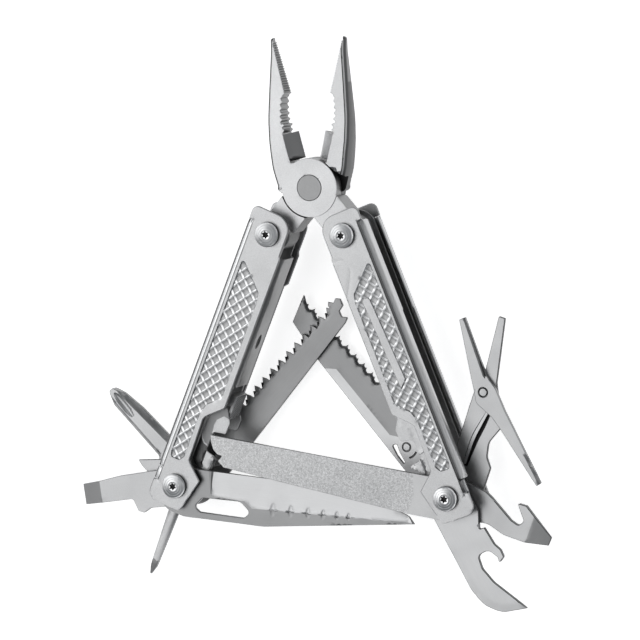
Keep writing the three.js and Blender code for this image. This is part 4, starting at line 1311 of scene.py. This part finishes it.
def add_scissors_body():
    low, high = SCISSORS_BODY
    slit = rounded([(30.9, -6.9, 0.3), (30.2, -8.3, 0.5), (24.0, -6.6, 6), (18.8, -4.8, 12), (9.6, -2.3, 0.3),
                    (10.0, -0.6, 0.3), (20.1, -2.2, 20)])
    slit = anticlockwise(dense(slit, 0.8))
    outline = rounded([
        (60.0, -5.4, 0.3), (59.7, -7.6, 0.3), (38.4, -8.0, 1), (33.6, -9.4, 2), (24.2, -11.6, 0.8),
        (18.8, -8.3, 4), (14.0, -8.4, 3), (10.7, -10.2, 0.8), (3.5, -9.0, 2), (-6.4, -7.2, 5.6),
        (-6.4, 5.6, 5.2), (18, 1.9, 10), (34.4, -0.9, 3), (42.2, -3.6, 4)])

    def in_slit(x, y):
        at = points_of(x, y)
        return inside(at, slit) & (distance(at, slit, True) > 0.03)

    # The slit is a shallow pocket whose floor is painted near black as shade.
    add_tool("scissors_fixed_blade", "scissors_body", RIGHT_BOTTOM, SCISSORS_TURN, SCISSORS_BODY, outline,
             [TOOL, EDGE_SHADE, RECESS_SHADE], holes=[circle(1.3, *SCISSORS_RIVET)], body="scissors", step=1.5,
             creases=[closed_line(slit), closed_line(offset(slit, 0.08))],
             top=lambda x, y: np.where(in_slit(x, y), low + 0.12, high),
             paint=lambda x, y, is_top: np.where(in_slit(x, y) & is_top, 2, 0))


def add_scissors_lever():
    outline = rounded([
        (57.8, 5.3, 0.3), (56.6, 7.2, 0.3), (35.6, -0.9, 2), (31.0, -2.6, 2), (27.4, -8.6, 1),
        (24.2, -12.0, 2), (13.2, -22.3, 2), (8.4, -26.8, 0.4), (9.7, -28.2, 0.4), (30.6, -12.5, 6),
        (36.9, -8.4, 3), (40.6, -4.6, 1)])
    cutting_edge, hollow_half = [(57.7, 5.6), (40.4, -4.0)], 0.55
    tab_edge = [(9.2, -28.6), (18.4, -21.6)]

    def hollow(x, y):
        return 0.55 * near(x, y, cutting_edge, hollow_half) * (x > 39)

    def on_tab(x, y):
        return (x < 17.5) & (distance(points_of(x, y), tab_edge) < 0.99)

    def paint(x, y, is_top):
        return np.select([on_tab(x, y) & is_top, (hollow(x, y) > 0.01) & is_top], [1, 2], 0)

    add_tool("scissors_moving_lever", "scissors_lever", RIGHT_BOTTOM, SCISSORS_TURN, SCISSORS_LEVER, outline,
             [TOOL, CUT_EDGE_SHADE, TIP], holes=[circle(1.6, *SCISSORS_RIVET)], bore=False, step=1.4, paint=paint,
             drop=lambda x, y: hollow(x, y) + 0.5 * on_tab(x, y), bottom=None,
             creases=beside(cutting_edge, hollow_half, -hollow_half) + beside(tab_edge, 1.0, -1.0) + [
                 [(39, -2), (39, -7)]])


def add_scissors():
    add_scissors_body()
    add_scissors_lever()
    low, high = SCISSORS_BODY
    pin = turned([(0, low - 0.1), (1.25, low - 0.1), (1.25, 0.45), (1.15, 0.55), (0, 0.6)], 40)
    spring = rounded([(30.2, -6.6, 0.3), (29.5, -7.2, 0.3), (19, -3.4, 20), (10.2, -1.6, 0.3),
                      (10.5, -0.8, 0.3), (20, -2.4, 20)])
    leaf = relief([spring], low + 0.14, high, step=1.5, rim=0.08)
    for name, part, materials, slot, node in (
            ("scissors_pin", moved(pin, *SCISSORS_RIVET), [TOOL], "screw_steel", "scissors_rivet"),
            ("scissors_leaf_spring", leaf, [BLADE, TIP], "tool_steel", "scissors_spring"),
            ("scissors_side_spacer", spacer_ring(-4.3, low - 0.1), [TOOL, TIP], "tool_steel",
             "right_inner_spacer")):
        piece(name, [part], materials, place(RIGHT_BOTTOM, SCISSORS_TURN), "scissors", node)


# ------------------------ build

add_plates()
add_channels()
add_pivots()
add_pliers()
add_knife()
add_saw()
add_flat_driver()
add_pick()
add_large_cross_driver()
add_small_cross_driver()
add_file()
add_serrated_knife()
add_opener()
add_hook_blade()
add_scissors()

bpy.context.view_layer.update()
